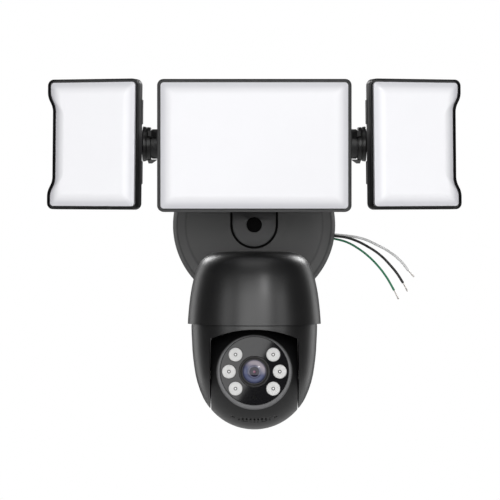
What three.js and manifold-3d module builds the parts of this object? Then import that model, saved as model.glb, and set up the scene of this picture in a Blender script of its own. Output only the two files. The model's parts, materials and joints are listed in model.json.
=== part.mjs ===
// Floodlight security camera: a round wall canopy carries a cross bar with three lamp heads,
// and a pan and tilt camera hangs in front of it. Millimetres, +Z up. The wall is the plane
// Y = 0, the origin is the middle of the mounting strap on it, and the front looks along -Y.

import * as THREE from 'three';
import { mergeVertices } from 'three/addons/utils/BufferGeometryUtils.js';
import Module from 'manifold-3d';

const wasm = await Module();
wasm.setup();

// ---- Driving dimensions ----

const GAP = 0.3; // between pieces that seat on each other or turn in each other

// Wall side
const gasketThickness = 2.5;
const gasketInnerRadius = 60;
const canopyRadius = 67.3;
const canopyDepth = 36;
const canopyWall = 2.6;
const canopyFaceRadius = 55.5;
const strapLength = 96;
const strapHeight = 18;
const strapThickness = 1.6;
const strapSlotX = 36;
const strapSlotHalf = [6, 2.3];
const standoffLength = 12;
const standoffRadius = 5;
const boltRadius = 1.9;
const plugRadius = 6.1;

// Light arm and cross bar
const tongueRadius = 17.6;
const grooveWidth = 2;
const recessDepth = 3;
const wireHoleZ = 30;
const barY = -84;
const barZ = 64;
const barRadius = 9;
const barBore = 4;
const clampHalfWidth = 16;
const clampWall = 4.5;
const clampScrewOffset = barRadius + 4.6;
const clampScrewRadius = 1.6;

// Ball sockets at the ends of the bar
const ballRadius = 7.5;
const stemRadius = 3.2;
const seatRadius = ballRadius + 1.7;
const nutRadius = seatRadius + 5;
const nutThread = 3; // from the nut's outside to the bar's threaded nose
const nutEarRadius = nutRadius + 1.3;
const collarRadius = nutRadius - 2.4;

// Lamp heads
const lampHeight = 103.7;
const lampZ = 61;
const lampFrontY = -128;
const lampDepth = 22;
const lampWall = 2;
const rimDepth = 10.5;
const rimWidth = 2.3;
const lampCorner = 5;
const diffuserRise = 2.6;
const diffuserBevel = 8.4;
const centreWidth = 151.7;
const sideWidth = 76;
const finReach = lampHeight / 2 - 13.85;
const finHeight = 2.4;
const socketX = centreWidth / 2 + 8.65; // the ball stands clear of the centre lamp's side
const collarEnd = socketX - 3.1;
const sideInnerEdgeX = socketX + 7;
const sideTurn = THREE.MathUtils.degToRad(20);
const notchDepth = 4.5;
const notchFlat = lampHeight / 2 - 22.85;
const notchSlant = 8.5;

// Camera
const cameraY = -95;
const hoodTop = -21.6;
const hoodRim = -78.9;
const hoodWall = 2;
const panPlateZ = -62;
const panPlateThickness = 2.4;
const yokeTop = -67.5;
const yokeWall = 2.2;
const slotHalfWidth = 34.8;
const archTop = -82.2;
const archRadius = 79.7;
const headRadius = 44.6;
const headZ = yokeTop - headRadius - 6.2; // the ball's clearance under the yoke's crown
const headHalfWidth = 34.1;
const headWall = 2.2;
const headLift = THREE.MathUtils.degToRad(4);
const windowRadius = 26.6;
const bezelRadius = windowRadius + 2.6;
const bezelSeat = 0.357; // rim of the cut ball left around the bezel
const windowRise = 1.1;
const lensRise = 0.5;
const lensRadius = 9.6;
const barrelRadius = 12;
const ledRadius = (windowRadius - barrelRadius - 3.8) / 2;
const ledRing = (windowRadius + barrelRadius) / 2 + 0.5;
const axleRadius = 4.7;

// Gears: the large one turns with the moving part, the small one is on the motor
const gearTeeth = 24;
const pinionTeeth = 6;
const panModule = 4 / 3;
const tiltModule = 1;

// Supply wires, in the order they leave the grommet
const wireRadius = 1.05;
const groundRadius = 0.9;
const strandRadius = 0.55;

// ---- Solids ----

// A closed geometry as a manifold solid, turned right side out.
function solidOf(geometry, matrix = new THREE.Matrix4()) {
  const plain = geometry.clone().applyMatrix4(matrix);
  plain.deleteAttribute('normal');
  plain.deleteAttribute('uv');
  const merged = mergeVertices(plain, 1e-4);
  const places = merged.attributes.position.array;
  const corner = (i) => new THREE.Vector3().fromArray(places, 3 * i);
  const faces = [];
  let volume = 0;
  for (let i = 0; i < merged.index.count; i += 3) {
    const [a, b, c] = merged.index.array.slice(i, i + 3);
    if (a !== b && b !== c && c !== a) {
      faces.push(a, b, c);
      volume += corner(a).dot(corner(b).cross(corner(c)));
    }
  }
  if (volume < 0) faces.reverse();
  return new wasm.Manifold(new wasm.Mesh({
    numProp: 3,
    vertProperties: new Float32Array(places),
    triVerts: new Uint32Array(faces),
  }));
}

function join(...solids) {
  return solids.reduce((whole, next) => whole.add(next));
}

function block(x0, x1, y0, y1, z0, z1) {
  const middle = new THREE.Matrix4().makeTranslation((x0 + x1) / 2, (y0 + y1) / 2, (z0 + z1) / 2);
  return solidOf(new THREE.BoxGeometry(x1 - x0, y1 - y0, z1 - z0), middle);
}

// A round bar between two points.
function rod(start, end, radius, sides = 16, endRadius = radius) {
  const from = new THREE.Vector3(...start);
  const along = new THREE.Vector3(...end).sub(from);
  const turn = new THREE.Quaternion().setFromUnitVectors(
    new THREE.Vector3(0, 1, 0), along.clone().normalize());
  const place = new THREE.Matrix4().compose(
    from.addScaledVector(along, 0.5), turn, new THREE.Vector3(1, 1, 1));
  return solidOf(new THREE.CylinderGeometry(endRadius, radius, along.length(), sides), place);
}

// A profile of [radius, distance along the axis] turned about the x, y or z axis through centre.
function revolve(profile, axis, centre = [0, 0, 0], sides = 40) {
  const turned = new THREE.LatheGeometry(profile.map(([r, a]) => new THREE.Vector2(r, a)), sides);
  if (axis === 'x') turned.rotateZ(-Math.PI / 2);
  if (axis === 'z') turned.rotateX(Math.PI / 2);
  return solidOf(turned, new THREE.Matrix4().setPosition(...centre));
}

function ring(inner, outer, from, to, axis, centre, sides) {
  return revolve([[inner, from], [outer, from], [outer, to], [inner, to], [inner, from]],
    axis, centre, sides);
}

// Outlines of equal point count, each [outline, place along the axis], joined into a closed solid.
function loft(axis, sections) {
  const flat = ([outline]) => outline.map(([a, b]) => new THREE.Vector2(a, b));
  const clockwise = THREE.ShapeUtils.isClockWise(flat(sections[0]));
  const rings = sections.map(([outline, s]) => [clockwise ? [...outline].reverse() : outline, s]);
  const order = { x: (a, b, s) => [s, a, b], y: (a, b, s) => [a, s, b], z: (a, b, s) => [a, b, s] }[axis];
  const places = rings.flatMap(([outline, s]) => outline.flatMap(([a, b]) => order(a, b, s)));
  const count = rings[0][0].length;
  const last = (rings.length - 1) * count;
  const faces = [];
  for (const [a, b, c] of THREE.ShapeUtils.triangulateShape(flat(rings[0]), [])) {
    faces.push(c, b, a);
  }
  for (const [a, b, c] of THREE.ShapeUtils.triangulateShape(flat(rings.at(-1)), [])) {
    faces.push(last + a, last + b, last + c);
  }
  for (let s = 0; s < rings.length - 1; s += 1) {
    for (let i = 0; i < count; i += 1) {
      const j = (i + 1) % count;
      const [a, b, c, d] = [s * count + i, s * count + j, (s + 1) * count + j, (s + 1) * count + i];
      faces.push(a, b, c, a, c, d);
    }
  }
  const geometry = new THREE.BufferGeometry();
  geometry.setAttribute('position', new THREE.Float32BufferAttribute(places, 3));
  geometry.setIndex(faces);
  return solidOf(geometry);
}

function prism(axis, outline, from, to) {
  return loft(axis, [[outline, from], [outline, to]]);
}

function arc(x, z, radius, from, to, steps) {
  return Array.from({ length: steps + 1 }, (_, i) => {
    const angle = THREE.MathUtils.degToRad(from + (to - from) * i / steps);
    return [x + radius * Math.cos(angle), z + radius * Math.sin(angle)];
  });
}

// A rectangle with round corners, anticlockwise.
function roundedBox(x0, x1, z0, z1, radius, steps = 3) {
  return [
    ...arc(x0 + radius, z0 + radius, radius, 180, 270, steps),
    ...arc(x1 - radius, z0 + radius, radius, 270, 360, steps),
    ...arc(x1 - radius, z1 - radius, radius, 0, 90, steps),
    ...arc(x0 + radius, z1 - radius, radius, 90, 180, steps),
  ];
}

// The inner face of a turned shell: each profile point moved in by the wall.
function inset(profile, wall) {
  return profile.map(([r, z], i) => {
    const before = profile[Math.max(i - 1, 0)];
    const after = profile[Math.min(i + 1, profile.length - 1)];
    const along = new THREE.Vector2(after[0] - before[0], after[1] - before[1]).normalize();
    return [Math.max(r + wall * along.y, 0), z - wall * along.x];
  });
}

// A spur gear about x or z with teeth thinner than their spaces, tooth 0 at the given angle.
function gear(teeth, module, from, to, axis, centre, phase) {
  const pitch = 2 * Math.PI / teeth;
  const root = module * (teeth / 2 - 1.05);
  const tip = module * (teeth / 2 + 0.75);
  const outline = [];
  for (let i = 0; i < teeth; i += 1) {
    for (const [radius, share] of [[root, -0.3], [tip, -0.11], [tip, 0.11], [root, 0.3]]) {
      const angle = phase + pitch * (i + share);
      outline.push([centre[0] + radius * Math.cos(angle), centre[1] + radius * Math.sin(angle)]);
    }
  }
  return prism(axis, outline, from, to);
}

// ---- Scene graph ----

const finishes = {
  black_plastic: { color: 0x2b2b2c, roughness: 0.45, metalness: 0 },
  black_metal: { color: 0x333334, roughness: 0.5, metalness: 0.3 },
  steel: { color: 0xb4b6b8, roughness: 0.35, metalness: 1 },
  rubber: { color: 0x161616, roughness: 0.85, metalness: 0 },
  milk_white: { color: 0xf2f1f6, roughness: 0.3, metalness: 0 },
  board: { color: 0x1d5a3a, roughness: 0.5, metalness: 0 },
  window: { color: 0x0c0c0e, roughness: 0.05, metalness: 0 },
  lens: { color: 0x2a2a40, roughness: 0.02, metalness: 0 },
  nylon: { color: 0xdedbd2, roughness: 0.5, metalness: 0 },
  grey_ring: { color: 0x5d5d5f, roughness: 0.35, metalness: 0 },
  led_white: { color: 0xd9d9d9, roughness: 0.3, metalness: 0 },
  wire_white: { color: 0xd8d8d8, roughness: 0.5, metalness: 0 },
  wire_black: { color: 0x1a1a1a, roughness: 0.5, metalness: 0 },
  wire_green: { color: 0x1a5c44, roughness: 0.5, metalness: 0 },
};

function add(group, name, solid, finish) {
  const { vertProperties, triVerts } = solid.getMesh();
  const geometry = new THREE.BufferGeometry();
  geometry.setAttribute('position', new THREE.BufferAttribute(vertProperties, 3));
  geometry.setIndex(new THREE.BufferAttribute(triVerts, 1));
  geometry.computeVertexNormals();
  const mesh = new THREE.Mesh(geometry, new THREE.MeshStandardMaterial(finishes[finish]));
  mesh.name = name;
  group.add(mesh);
}

const group = new THREE.Group();

// ---- Wall mount: strap, gasket, canopy and its bolt ----

// The three supply wires: route from the grommet to the end of the insulation, then the bare tip.
const wires = {
  white_wire: {
    radius: wireRadius,
    finish: 'wire_white',
    route: [
      [0, -31, 32.6], [0, -26, 32.6], [2, -20, 31.5], [8, -15, 28], [18, -12, 22], [30, -9.5, 14],
      [42, -7, 5.5], [53, -4.6, -3.2], [62, -3.4, -7.2], [71.1, -3.2, -8.2], [79.4, -3.6, -9.1],
      [90.1, -4.4, -11.2], [102.3, -5.4, -16.5], [113.5, -6.2, -22.9], [122.3, -6.6, -30.4],
      [127.9, -6.8, -37.6],
    ],
    tip: [132.6, -7, -42.9],
  },
  black_wire: {
    radius: wireRadius,
    finish: 'wire_black',
    route: [
      [-2.3, -31, 28.8], [-2.3, -26, 28.8], [-1, -20, 27.5], [5, -15.5, 24], [15, -13, 17.5],
      [27, -11, 9.5], [39, -9, 2], [50, -7.4, -4.2], [60, -6.2, -7.8], [67, -5.9, -9],
      [75.7, -6.2, -10.1], [83.4, -6.6, -12.4], [94.5, -7.2, -17.9], [104.6, -7.8, -24.8],
      [112.9, -8.1, -33.2], [118.4, -8.2, -39.9], [123.5, -8.2, -47.9],
    ],
    tip: [127.2, -8.2, -54.9],
  },
  green_wire: {
    radius: groundRadius,
    finish: 'wire_green',
    route: [
      [2.3, -31, 28.8], [2.3, -24.6, 28.5], [3.9, -18.6, 23.8], [8, -12.5, 16.6], [15.5, -8.2, 10],
      [27, -6, 3.5], [39, -5, -2.5], [50, -4.2, -7.2], [60, -3.6, -9.8], [67.3, -3.4, -11.4],
      [76.8, -3.6, -14], [85.7, -4.2, -18.8], [94.5, -5, -25.4], [102.3, -5.6, -33.2],
      [109.6, -6, -42.7], [116.2, -6.2, -54.1],
    ],
    tip: [119.9, -6.2, -61.5],
  },
};
const wireSides = 8;
const wireStep = 6.4;
const wireExitZ = -9.6; // middle of the notch where the wires leave the canopy
const wireNotchHalf = 4.6;

function makeWires() {
  for (const [name, { radius, finish, route, tip }] of Object.entries(wires)) {
    const path = new THREE.CatmullRomCurve3(route.map((point) => new THREE.Vector3(...point)));
    const section = new THREE.Shape(arc(0, 0, radius, 0, 360 - 360 / wireSides, wireSides - 1)
      .map(([x, y]) => new THREE.Vector2(x, y)));
    const steps = Math.round(path.getLength() / wireStep);
    const tube = new THREE.ExtrudeGeometry(section, { steps, extrudePath: path });
    const inside = path.getPoint(1).lerp(new THREE.Vector3(...tip), -0.1);
    const strands = rod(inside.toArray(), tip, strandRadius, wireSides);
    add(group, name, solidOf(tube).add(strands), finish);
  }
}

// The canopy's outer face from its rim to the middle of its front: [radius, y].
const canopyBack = -gasketThickness - GAP;
const canopyProfile = [
  [canopyRadius, canopyBack], [canopyRadius, -7], [65.3, -23], [62.9, -28.6],
  [canopyFaceRadius + 1, -canopyDepth + 0.6], [canopyFaceRadius - 1, -canopyDepth],
  [0, -canopyDepth],
];
const recessFloor = -canopyDepth + recessDepth;
const padBack = recessFloor + 3; // the thicker patch of the canopy behind the arm
const neckZ = -42;
const recessTop = 80;

// The arm's foot outline: a half circle below, straight sides above.
function tongue(radius, top) {
  return [...arc(0, 0, radius, 180, 360, 12), [radius, top], [-radius, top]];
}

function makeWallMount() {
  const strapHalf = strapLength / 2;
  const bar = block(-strapHalf, strapHalf, -strapThickness, 0, -strapHeight / 2, strapHeight / 2);
  const standoff = rod([0, -strapThickness / 2, 0], [0, -standoffLength, 0], standoffRadius);
  let strap = join(bar, standoff).subtract(rod([0, -20, 0], [0, -4, 0], boltRadius + GAP, 16));
  for (const side of [-1, 1]) {
    const [x, [halfX, halfZ]] = [side * strapSlotX, strapSlotHalf];
    const outline = roundedBox(x - halfX, x + halfX, -halfZ, halfZ, halfZ - 0.1, 2);
    strap = strap.subtract(prism('y', outline, -5, 3));
  }
  add(group, 'mounting_strap', strap, 'steel');

  const wireNotch = (y) => block(54, 75, y, 1, wireExitZ - wireNotchHalf, wireExitZ + wireNotchHalf);
  const gasket = ring(gasketInnerRadius, canopyRadius - 0.6, -gasketThickness, 0, 'y', [0, 0, 0], 32);
  add(group, 'wall_gasket', gasket.subtract(wireNotch(-5)), 'rubber');

  const hollow = inset(canopyProfile, canopyWall);
  hollow[0] = [canopyRadius - canopyWall, canopyBack + 2];
  const shell = revolve([[0, canopyBack], ...canopyProfile], 'y', [0, 0, 0], 32);
  const cavity = revolve([[0, canopyBack + 2], ...hollow], 'y', [0, 0, 0], 32);
  const pad = prism('y', tongue(tongueRadius + grooveWidth + 2.4, 48), padBack, -canopyDepth + 1);
  const boss = rod([0, -20, neckZ], [0, -canopyDepth + 1, neckZ], 9);
  const canopy = shell.subtract(cavity)
    .add(pad)
    .add(boss)
    .subtract(prism('y', tongue(tongueRadius + grooveWidth, recessTop), recessFloor, -canopyDepth - 5))
    .subtract(rod([0, -50, 0], [0, 0, 0], boltRadius + GAP, 16))
    .subtract(rod([0, -50, wireHoleZ], [0, 0, wireHoleZ], 6 + GAP, 16))
    .subtract(rod([0, -50, neckZ], [0, 0, neckZ], 5.5))
    .subtract(wireNotch(-8.6));
  add(group, 'canopy', canopy, 'black_plastic');

  const headY = recessFloor - GAP;
  add(group, 'canopy_bolt', join(
    rod([0, headY, 0], [0, headY - 2, 0], 3.8, 20, 3.2),
    rod([0, headY - 1, 0], [0, -standoffLength + 5, 0], boltRadius, 12),
  ), 'steel');
  add(group, 'bolt_plug', revolve([
    [0, -35.8], [plugRadius, -35.8], [plugRadius, -37.6], [plugRadius - 1.4, -38.4], [0, -38.8],
  ], 'y', [0, 0, 0], 24), 'rubber');

  // A bush with one hole for each wire, held in the canopy by its flange.
  let grommet = revolve([
    [0, recessFloor - 0.2], [6, recessFloor - 0.2], [6, padBack + GAP], [8.5, padBack + GAP],
    [8.5, -28.4], [7.5, -27.8], [0, -27.8],
  ], 'y', [0, 0, wireHoleZ], 16);
  for (const { radius, route } of Object.values(wires)) {
    const [x, , z] = route[0];
    grommet = grommet.subtract(rod([x, -40, z], [x, -20, z], radius + GAP, 8));
  }
  add(group, 'wire_grommet', grommet, 'rubber');
}

// ---- Light arm, cross bar and its clamp ----

const saddleFace = barY + GAP / 2;
const armBack = recessFloor - GAP;

function makeArm() {
  // The arm seen from the side, [y, z]: foot at the canopy, saddle at the bar.
  const side = [
    [armBack, -tongueRadius - 1], [-37.2, -tongueRadius - 1], [-37.6, 4], [-41, 14], [-50, 27],
    [-62, 38], [-74, 45], [saddleFace, 46.5], [saddleFace, 81.5], [-70, 81.5], [-58, 79], [-46, 70],
    [-38, 60], [armBack, 56],
  ];
  const across = prism('x', side, -tongueRadius, tongueRadius);
  let arm = prism('y', tongue(tongueRadius, 90), 0, -100)
    .intersect(across)
    .subtract(rod([-30, barY, barZ], [30, barY, barZ], barRadius + GAP, 20))
    .subtract(rod([0, -30, 0], [0, -50, 0], plugRadius + GAP, 24))
    .subtract(rod([0, -28, wireHoleZ], [0, -56, 37], 6.5, 20))
    .subtract(rod([0, -53, 36], [0, -79, 58], 5, 20));
  const clampFace = barY - GAP / 2;
  const earFront = barY - 5.3;
  const earReach = clampScrewOffset + 3.4;
  let cap = join(
    rod([-clampHalfWidth, barY, barZ], [clampHalfWidth, barY, barZ], barRadius + clampWall, 20),
    block(-clampHalfWidth, clampHalfWidth, earFront, barY, barZ - earReach, barZ + earReach),
  )
    .subtract(block(-30, 30, clampFace, barY + 30, barZ - 30, barZ + 30))
    .subtract(rod([-30, barY, barZ], [30, barY, barZ], barRadius + GAP, 20));
  ['upper', 'lower'].forEach((name, i) => {
    const z = barZ + (i === 0 ? clampScrewOffset : -clampScrewOffset);
    arm = arm.subtract(rod([0, barY - 5, z], [0, barY + 9, z], clampScrewRadius + GAP, 12));
    cap = cap.subtract(rod([0, barY - 20, z], [0, barY + 5, z], clampScrewRadius + GAP, 12));
    cap = cap.subtract(rod([0, barY - 20, z], [0, earFront, z], 3 + GAP, 16));
    add(group, `clamp_screw_${name}`, join(
      rod([0, earFront - GAP, z], [0, earFront - 2.3, z], 3, 16),
      rod([0, earFront - 1, z], [0, barY + 8, z], clampScrewRadius, 12),
    ), 'steel');
  });
  add(group, 'light_arm', arm, 'black_metal');
  add(group, 'bar_clamp', cap, 'black_metal');

  // The bar: a tube with a collar, a threaded nose and a ball pocket at each end.
  const collarStart = collarEnd - 11.4;
  const noseRadius = nutRadius - nutThread;
  const noseEnd = socketX + 2;
  const pocket = seatRadius + GAP;
  const pocketFloor = socketX - ballRadius + 0.5; // the back of the ball dips into the bore
  const half = [
    [barBore, pocketFloor], [pocket, pocketFloor], [pocket, noseEnd], [noseRadius, noseEnd],
    [noseRadius, collarEnd], [collarRadius, collarEnd], [collarRadius, collarStart + 2],
    [barRadius, collarStart],
  ];
  const profile = [...half, ...half.map(([r, x]) => [r, -x]).reverse()];
  const bar = revolve([...profile, profile[0]], 'x', [0, barY, barZ], 16)
    .subtract(rod([0, barY, barZ], [0, barY + 12, barZ - 14], 3.5, 16));
  add(group, 'cross_bar', bar, 'black_metal');
}

// ---- Lamp heads ----

// A lamp's outline drawn in by a margin: [x, z] about the lamp's own frame. With a notch its
// outer edge (the higher x) is cut back along the middle.
function lampOutline(lamp, margin, corner) {
  const [x0, x1] = [lamp.x0 + margin, lamp.x1 - margin];
  const [z0, z1] = [lamp.z - lampHeight / 2 + margin, lamp.z + lampHeight / 2 - margin];
  const box = roundedBox(x0, x1, z0, z1, corner);
  const middle = box.length / 2;
  const notch = lamp.notched ? [
    [x1, lamp.z - notchFlat - notchSlant], [x1 - notchDepth, lamp.z - notchFlat],
    [x1 - notchDepth, lamp.z + notchFlat], [x1, lamp.z + notchFlat + notchSlant],
  ] : [];
  const outline = [...box.slice(0, middle), ...notch, ...box.slice(middle)];
  return lamp.mirrored ? outline.map(([x, z]) => [-x, z]).reverse() : outline;
}

// Housing, gasket, LED board and diffuser, from the lamp's front plane backwards.
function makeLamp(parent, name, lamp) {
  const y = (depth) => lamp.front + depth;
  const at = (margin, depth, corner) => [
    lampOutline(lamp, margin, corner ?? Math.max(lampCorner - margin, 1.2)), y(depth)];
  const ledge = 5;
  const boxMargin = 7;
  const outside = loft('y', [
    at(0.4, 0), at(0, 0.6), at(0, rimDepth), at(5, rimDepth + 0.4),
    at(boxMargin, lampDepth, 4),
  ]);
  const inside = loft('y', [
    at(rimWidth, -1), at(rimWidth, ledge), at(boxMargin + lampWall, ledge + 0.01, 2),
    at(boxMargin + lampWall + 0.6, lampDepth - lampWall, 2),
  ]);
  let housing = outside.subtract(inside);
  const sign = lamp.mirrored ? -1 : 1;
  const span = (a, b) => (sign > 0 ? [a, b] : [-b, -a]);
  for (const x of lamp.fins) {
    const fin = block(...span(x - 1, x + 1), y(lampDepth - 1), y(lampDepth + finHeight),
      lamp.z - finReach, lamp.z + finReach);
    housing = housing.add(fin);
  }
  for (const [z0, z1] of lamp.tabs) {
    const tab = block(...span(lamp.x0, lamp.x0 + 3), y(rimDepth - 2), y(rimDepth + 2),
      lamp.z + z0, lamp.z + z1);
    housing = housing.add(tab);
  }
  housing = housing.subtract(rod(...lamp.cableHole, 3, 16));
  add(parent, `${name}_lamp_housing`, housing, 'black_metal');

  const flange = rimWidth + GAP;
  const top = flange + diffuserBevel;
  const bottom = 3.2;
  const cover = loft('y', [
    at(top, -diffuserRise, 1.6), at(flange + 0.2, 0.7, 2.4), at(flange, 0.9, 2.4),
    at(flange, bottom, 2.4),
  ]);
  const coverHollow = loft('y', [
    at(top + 1.2, -diffuserRise + 2, 1), at(flange + 2, 2.6, 1.2), at(flange + 2, bottom + 1, 1.2),
  ]);
  add(parent, `${name}_diffuser`, cover.subtract(coverHollow), 'milk_white');

  const seal = loft('y', [at(flange, bottom + GAP), at(flange, ledge - GAP)])
    .subtract(loft('y', [at(boxMargin, bottom - 1), at(boxMargin, ledge + 1)]));
  add(parent, `${name}_lamp_gasket`, seal, 'rubber');

  const boardBack = lampDepth - lampWall - 3;
  const board = prism('y', lampOutline(lamp, boxMargin + lampWall + 3, 2), y(boardBack - 1.6), y(boardBack));
  const feet = [0.25, 0.65].map((share) => {
    const x = sign * (lamp.x0 + share * (lamp.x1 - lamp.x0));
    return rod([x, y(boardBack - 1), lamp.z + 22], [x, y(lampDepth - lampWall - GAP), lamp.z + 22], 3, 8);
  });
  add(parent, `${name}_led_board`, join(board, ...feet), 'board');
}

function makeCentreLamp() {
  const back = lampFrontY + lampDepth;
  makeLamp(group, 'centre', {
    x0: -centreWidth / 2,
    x1: centreWidth / 2,
    z: lampZ,
    front: lampFrontY,
    fins: [-68, -60, -52, -44, 44, 52, 60, 68],
    tabs: [],
    cableHole: [[0, back - 5, barZ - 24], [0, back + 5, barZ - 24]],
  });
  // Two hooks snap over the bar and let the lamp tilt on it.
  let bracket = prism('y', roundedBox(-36, 36, barZ - 12, barZ + 12, 3), back + GAP, back + 2.3);
  for (const x of [-32, 24]) {
    const hook = join(
      rod([x, barY, barZ], [x + 8, barY, barZ], barRadius + 3.5, 20),
      block(x, x + 8, back + 1.5, barY - 4, barZ - 8, barZ + 8),
    )
      .subtract(rod([x - 5, barY, barZ], [x + 13, barY, barZ], barRadius + GAP, 20))
      .subtract(block(x - 5, x + 13, barY + 5, barY + 30, barZ - 30, barZ + 30));
    bracket = bracket.add(hook);
  }
  add(group, 'centre_hinge_bracket', bracket, 'black_metal');
}

// The side lamps hang on the ball at the end of the bar. Their frame has its origin at the ball
// and is turned outwards, so the lamp's inner front edge sits at sideInnerEdgeX.
const [cosTurn, sinTurn] = [Math.cos(sideTurn), Math.sin(sideTurn)];
const toEdge = [sideInnerEdgeX - socketX, lampFrontY - barY];
const sideLampX0 = toEdge[0] * cosTurn + toEdge[1] * sinTurn;
const sideLampFront = toEdge[1] * cosTurn - toEdge[0] * sinTurn;

function makeSideLamp(name, sign) {
  const origin = new THREE.Group();
  origin.position.set(sign * socketX, barY, barZ);
  const turned = new THREE.Group();
  turned.rotation.z = sign * sideTurn;
  origin.add(turned);
  group.add(origin);

  const back = sideLampFront + lampDepth;
  const blockFrom = 18;
  const blockTo = 42;
  const middle = (blockFrom + blockTo) / 2;
  makeLamp(turned, name, {
    x0: sideLampX0,
    x1: sideLampX0 + sideWidth,
    z: lampZ - barZ,
    front: sideLampFront,
    mirrored: sign < 0,
    notched: true,
    fins: [46, 51.5],
    tabs: [[16, 35], [-31, -13]],
    cableHole: [[sign * middle, back - 5, 0], [sign * middle, back + 5, 0]],
  });

  // The socket block on the lamp's back takes the stem, which lies along the bar at rest.
  const outline = roundedBox(blockFrom, blockTo, -13, 13, 4).map(([x, z]) => [sign * x, z]);
  const stemEnd = 30;
  const along = (distance) => [sign * cosTurn * distance, -sinTurn * distance, 0];
  const socket = loft('y', [
    [outline, back + GAP], [outline, 2],
    [outline.map(([x, z]) => [sign * middle + (x - sign * middle) * 0.78, z * 0.78]), 5.5],
  ])
    .subtract(rod([0, 0, 0], along(stemEnd + GAP), stemRadius + GAP, 12))
    .subtract(rod([sign * middle, back - 2, 0], [sign * middle, -8, 0], 3, 16));
  add(turned, `${name}_socket_block`, socket, 'black_metal');

  const ball = solidOf(new THREE.SphereGeometry(ballRadius, 12, 6));
  const stem = rod([0, 0, 0], [sign * stemEnd, 0, 0], stemRadius, 12);
  add(origin, `${name}_ball_stem`, ball.add(stem), 'steel');

  // The slotted seat cups the ball: it turns with the stem and the stem swings in its slot.
  const lipInside = 3.1;
  const seat = rod([(1.5 - ballRadius) * sign, 0, 0], [(lipInside - GAP) * sign, 0, 0], seatRadius, 20)
    .subtract(solidOf(new THREE.SphereGeometry(ballRadius + 1.5 * GAP, 12, 8)))
    .subtract(block(Math.min(-sign, 12 * sign), Math.max(-sign, 12 * sign), -20, 20,
      -stemRadius - 0.4, stemRadius + 0.4));
  add(origin, `${name}_ball_seat`, seat, 'nylon');

  const nutBack = -2.2;
  const nutFront = 4.7;
  const thread = nutRadius - nutThread + GAP;
  const hole = seatRadius - 0.8;
  let nut = revolve([
    [thread, nutBack], [nutRadius - 1, nutBack], [nutRadius - 0.2, nutFront - 1], [nutRadius - 0.9, nutFront],
    [hole, nutFront], [hole, lipInside], [thread, lipInside], [thread, nutBack],
  ].map(([r, x]) => [r, sign * x]), 'x', [0, 0, 0], 18);
  const earInside = collarRadius + 2 * GAP;
  const earOutline = [
    [-6.8, -earInside], [0.6, -earInside], [0.6, 1 - nutRadius], [-0.2, -nutEarRadius],
    [-2.9, -nutEarRadius], [-6.6, -earInside - 0.5],
  ].map(([x, z]) => [sign * x, z]);
  for (const angle of [0, 120, 240]) {
    const ear = new THREE.Matrix4().makeRotationX(THREE.MathUtils.degToRad(angle));
    const wedge = new THREE.ExtrudeGeometry(
      new THREE.Shape(earOutline.map(([x, z]) => new THREE.Vector2(x, z))),
      { depth: 5, bevelEnabled: false });
    wedge.translate(0, 0, -2.5).rotateX(Math.PI / 2);
    nut = nut.add(solidOf(wedge, ear));
  }
  add(origin, `${name}_lock_nut`, nut, 'black_plastic');
}

// ---- Camera hood and pan drive ----

// Outer faces from top to bottom: [radius, z].
const hoodProfile = [
  [0, hoodTop], [27, hoodTop - 0.6], [37.7, hoodTop - 3.9], [43.1, hoodTop - 9.1],
  [46.2, hoodTop - 15.4], [49.2, hoodTop - 28], [51.4, hoodTop - 41], [52.8, hoodRim],
];
const yokeProfile = [
  [0, yokeTop], [44.5, yokeTop], [48.4, yokeTop - 3.5], [49.9, -80.9], [49.4, -94], [48, -111],
  [45.2, -125.3], [42, -134.6], [38.4, -141.6], [34.2, -146.4], [0, -146.4],
];
const panAxis = [0, cameraY, 0];
const panCentres = panModule * (gearTeeth + pinionTeeth) / 2;
const motorY = cameraY - panCentres;
const hubRadius = 9;
const gearSeatRadius = 6.5;
const gearBottom = panPlateZ + panPlateThickness + 1.1;
const panGearWidth = 4;

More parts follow.
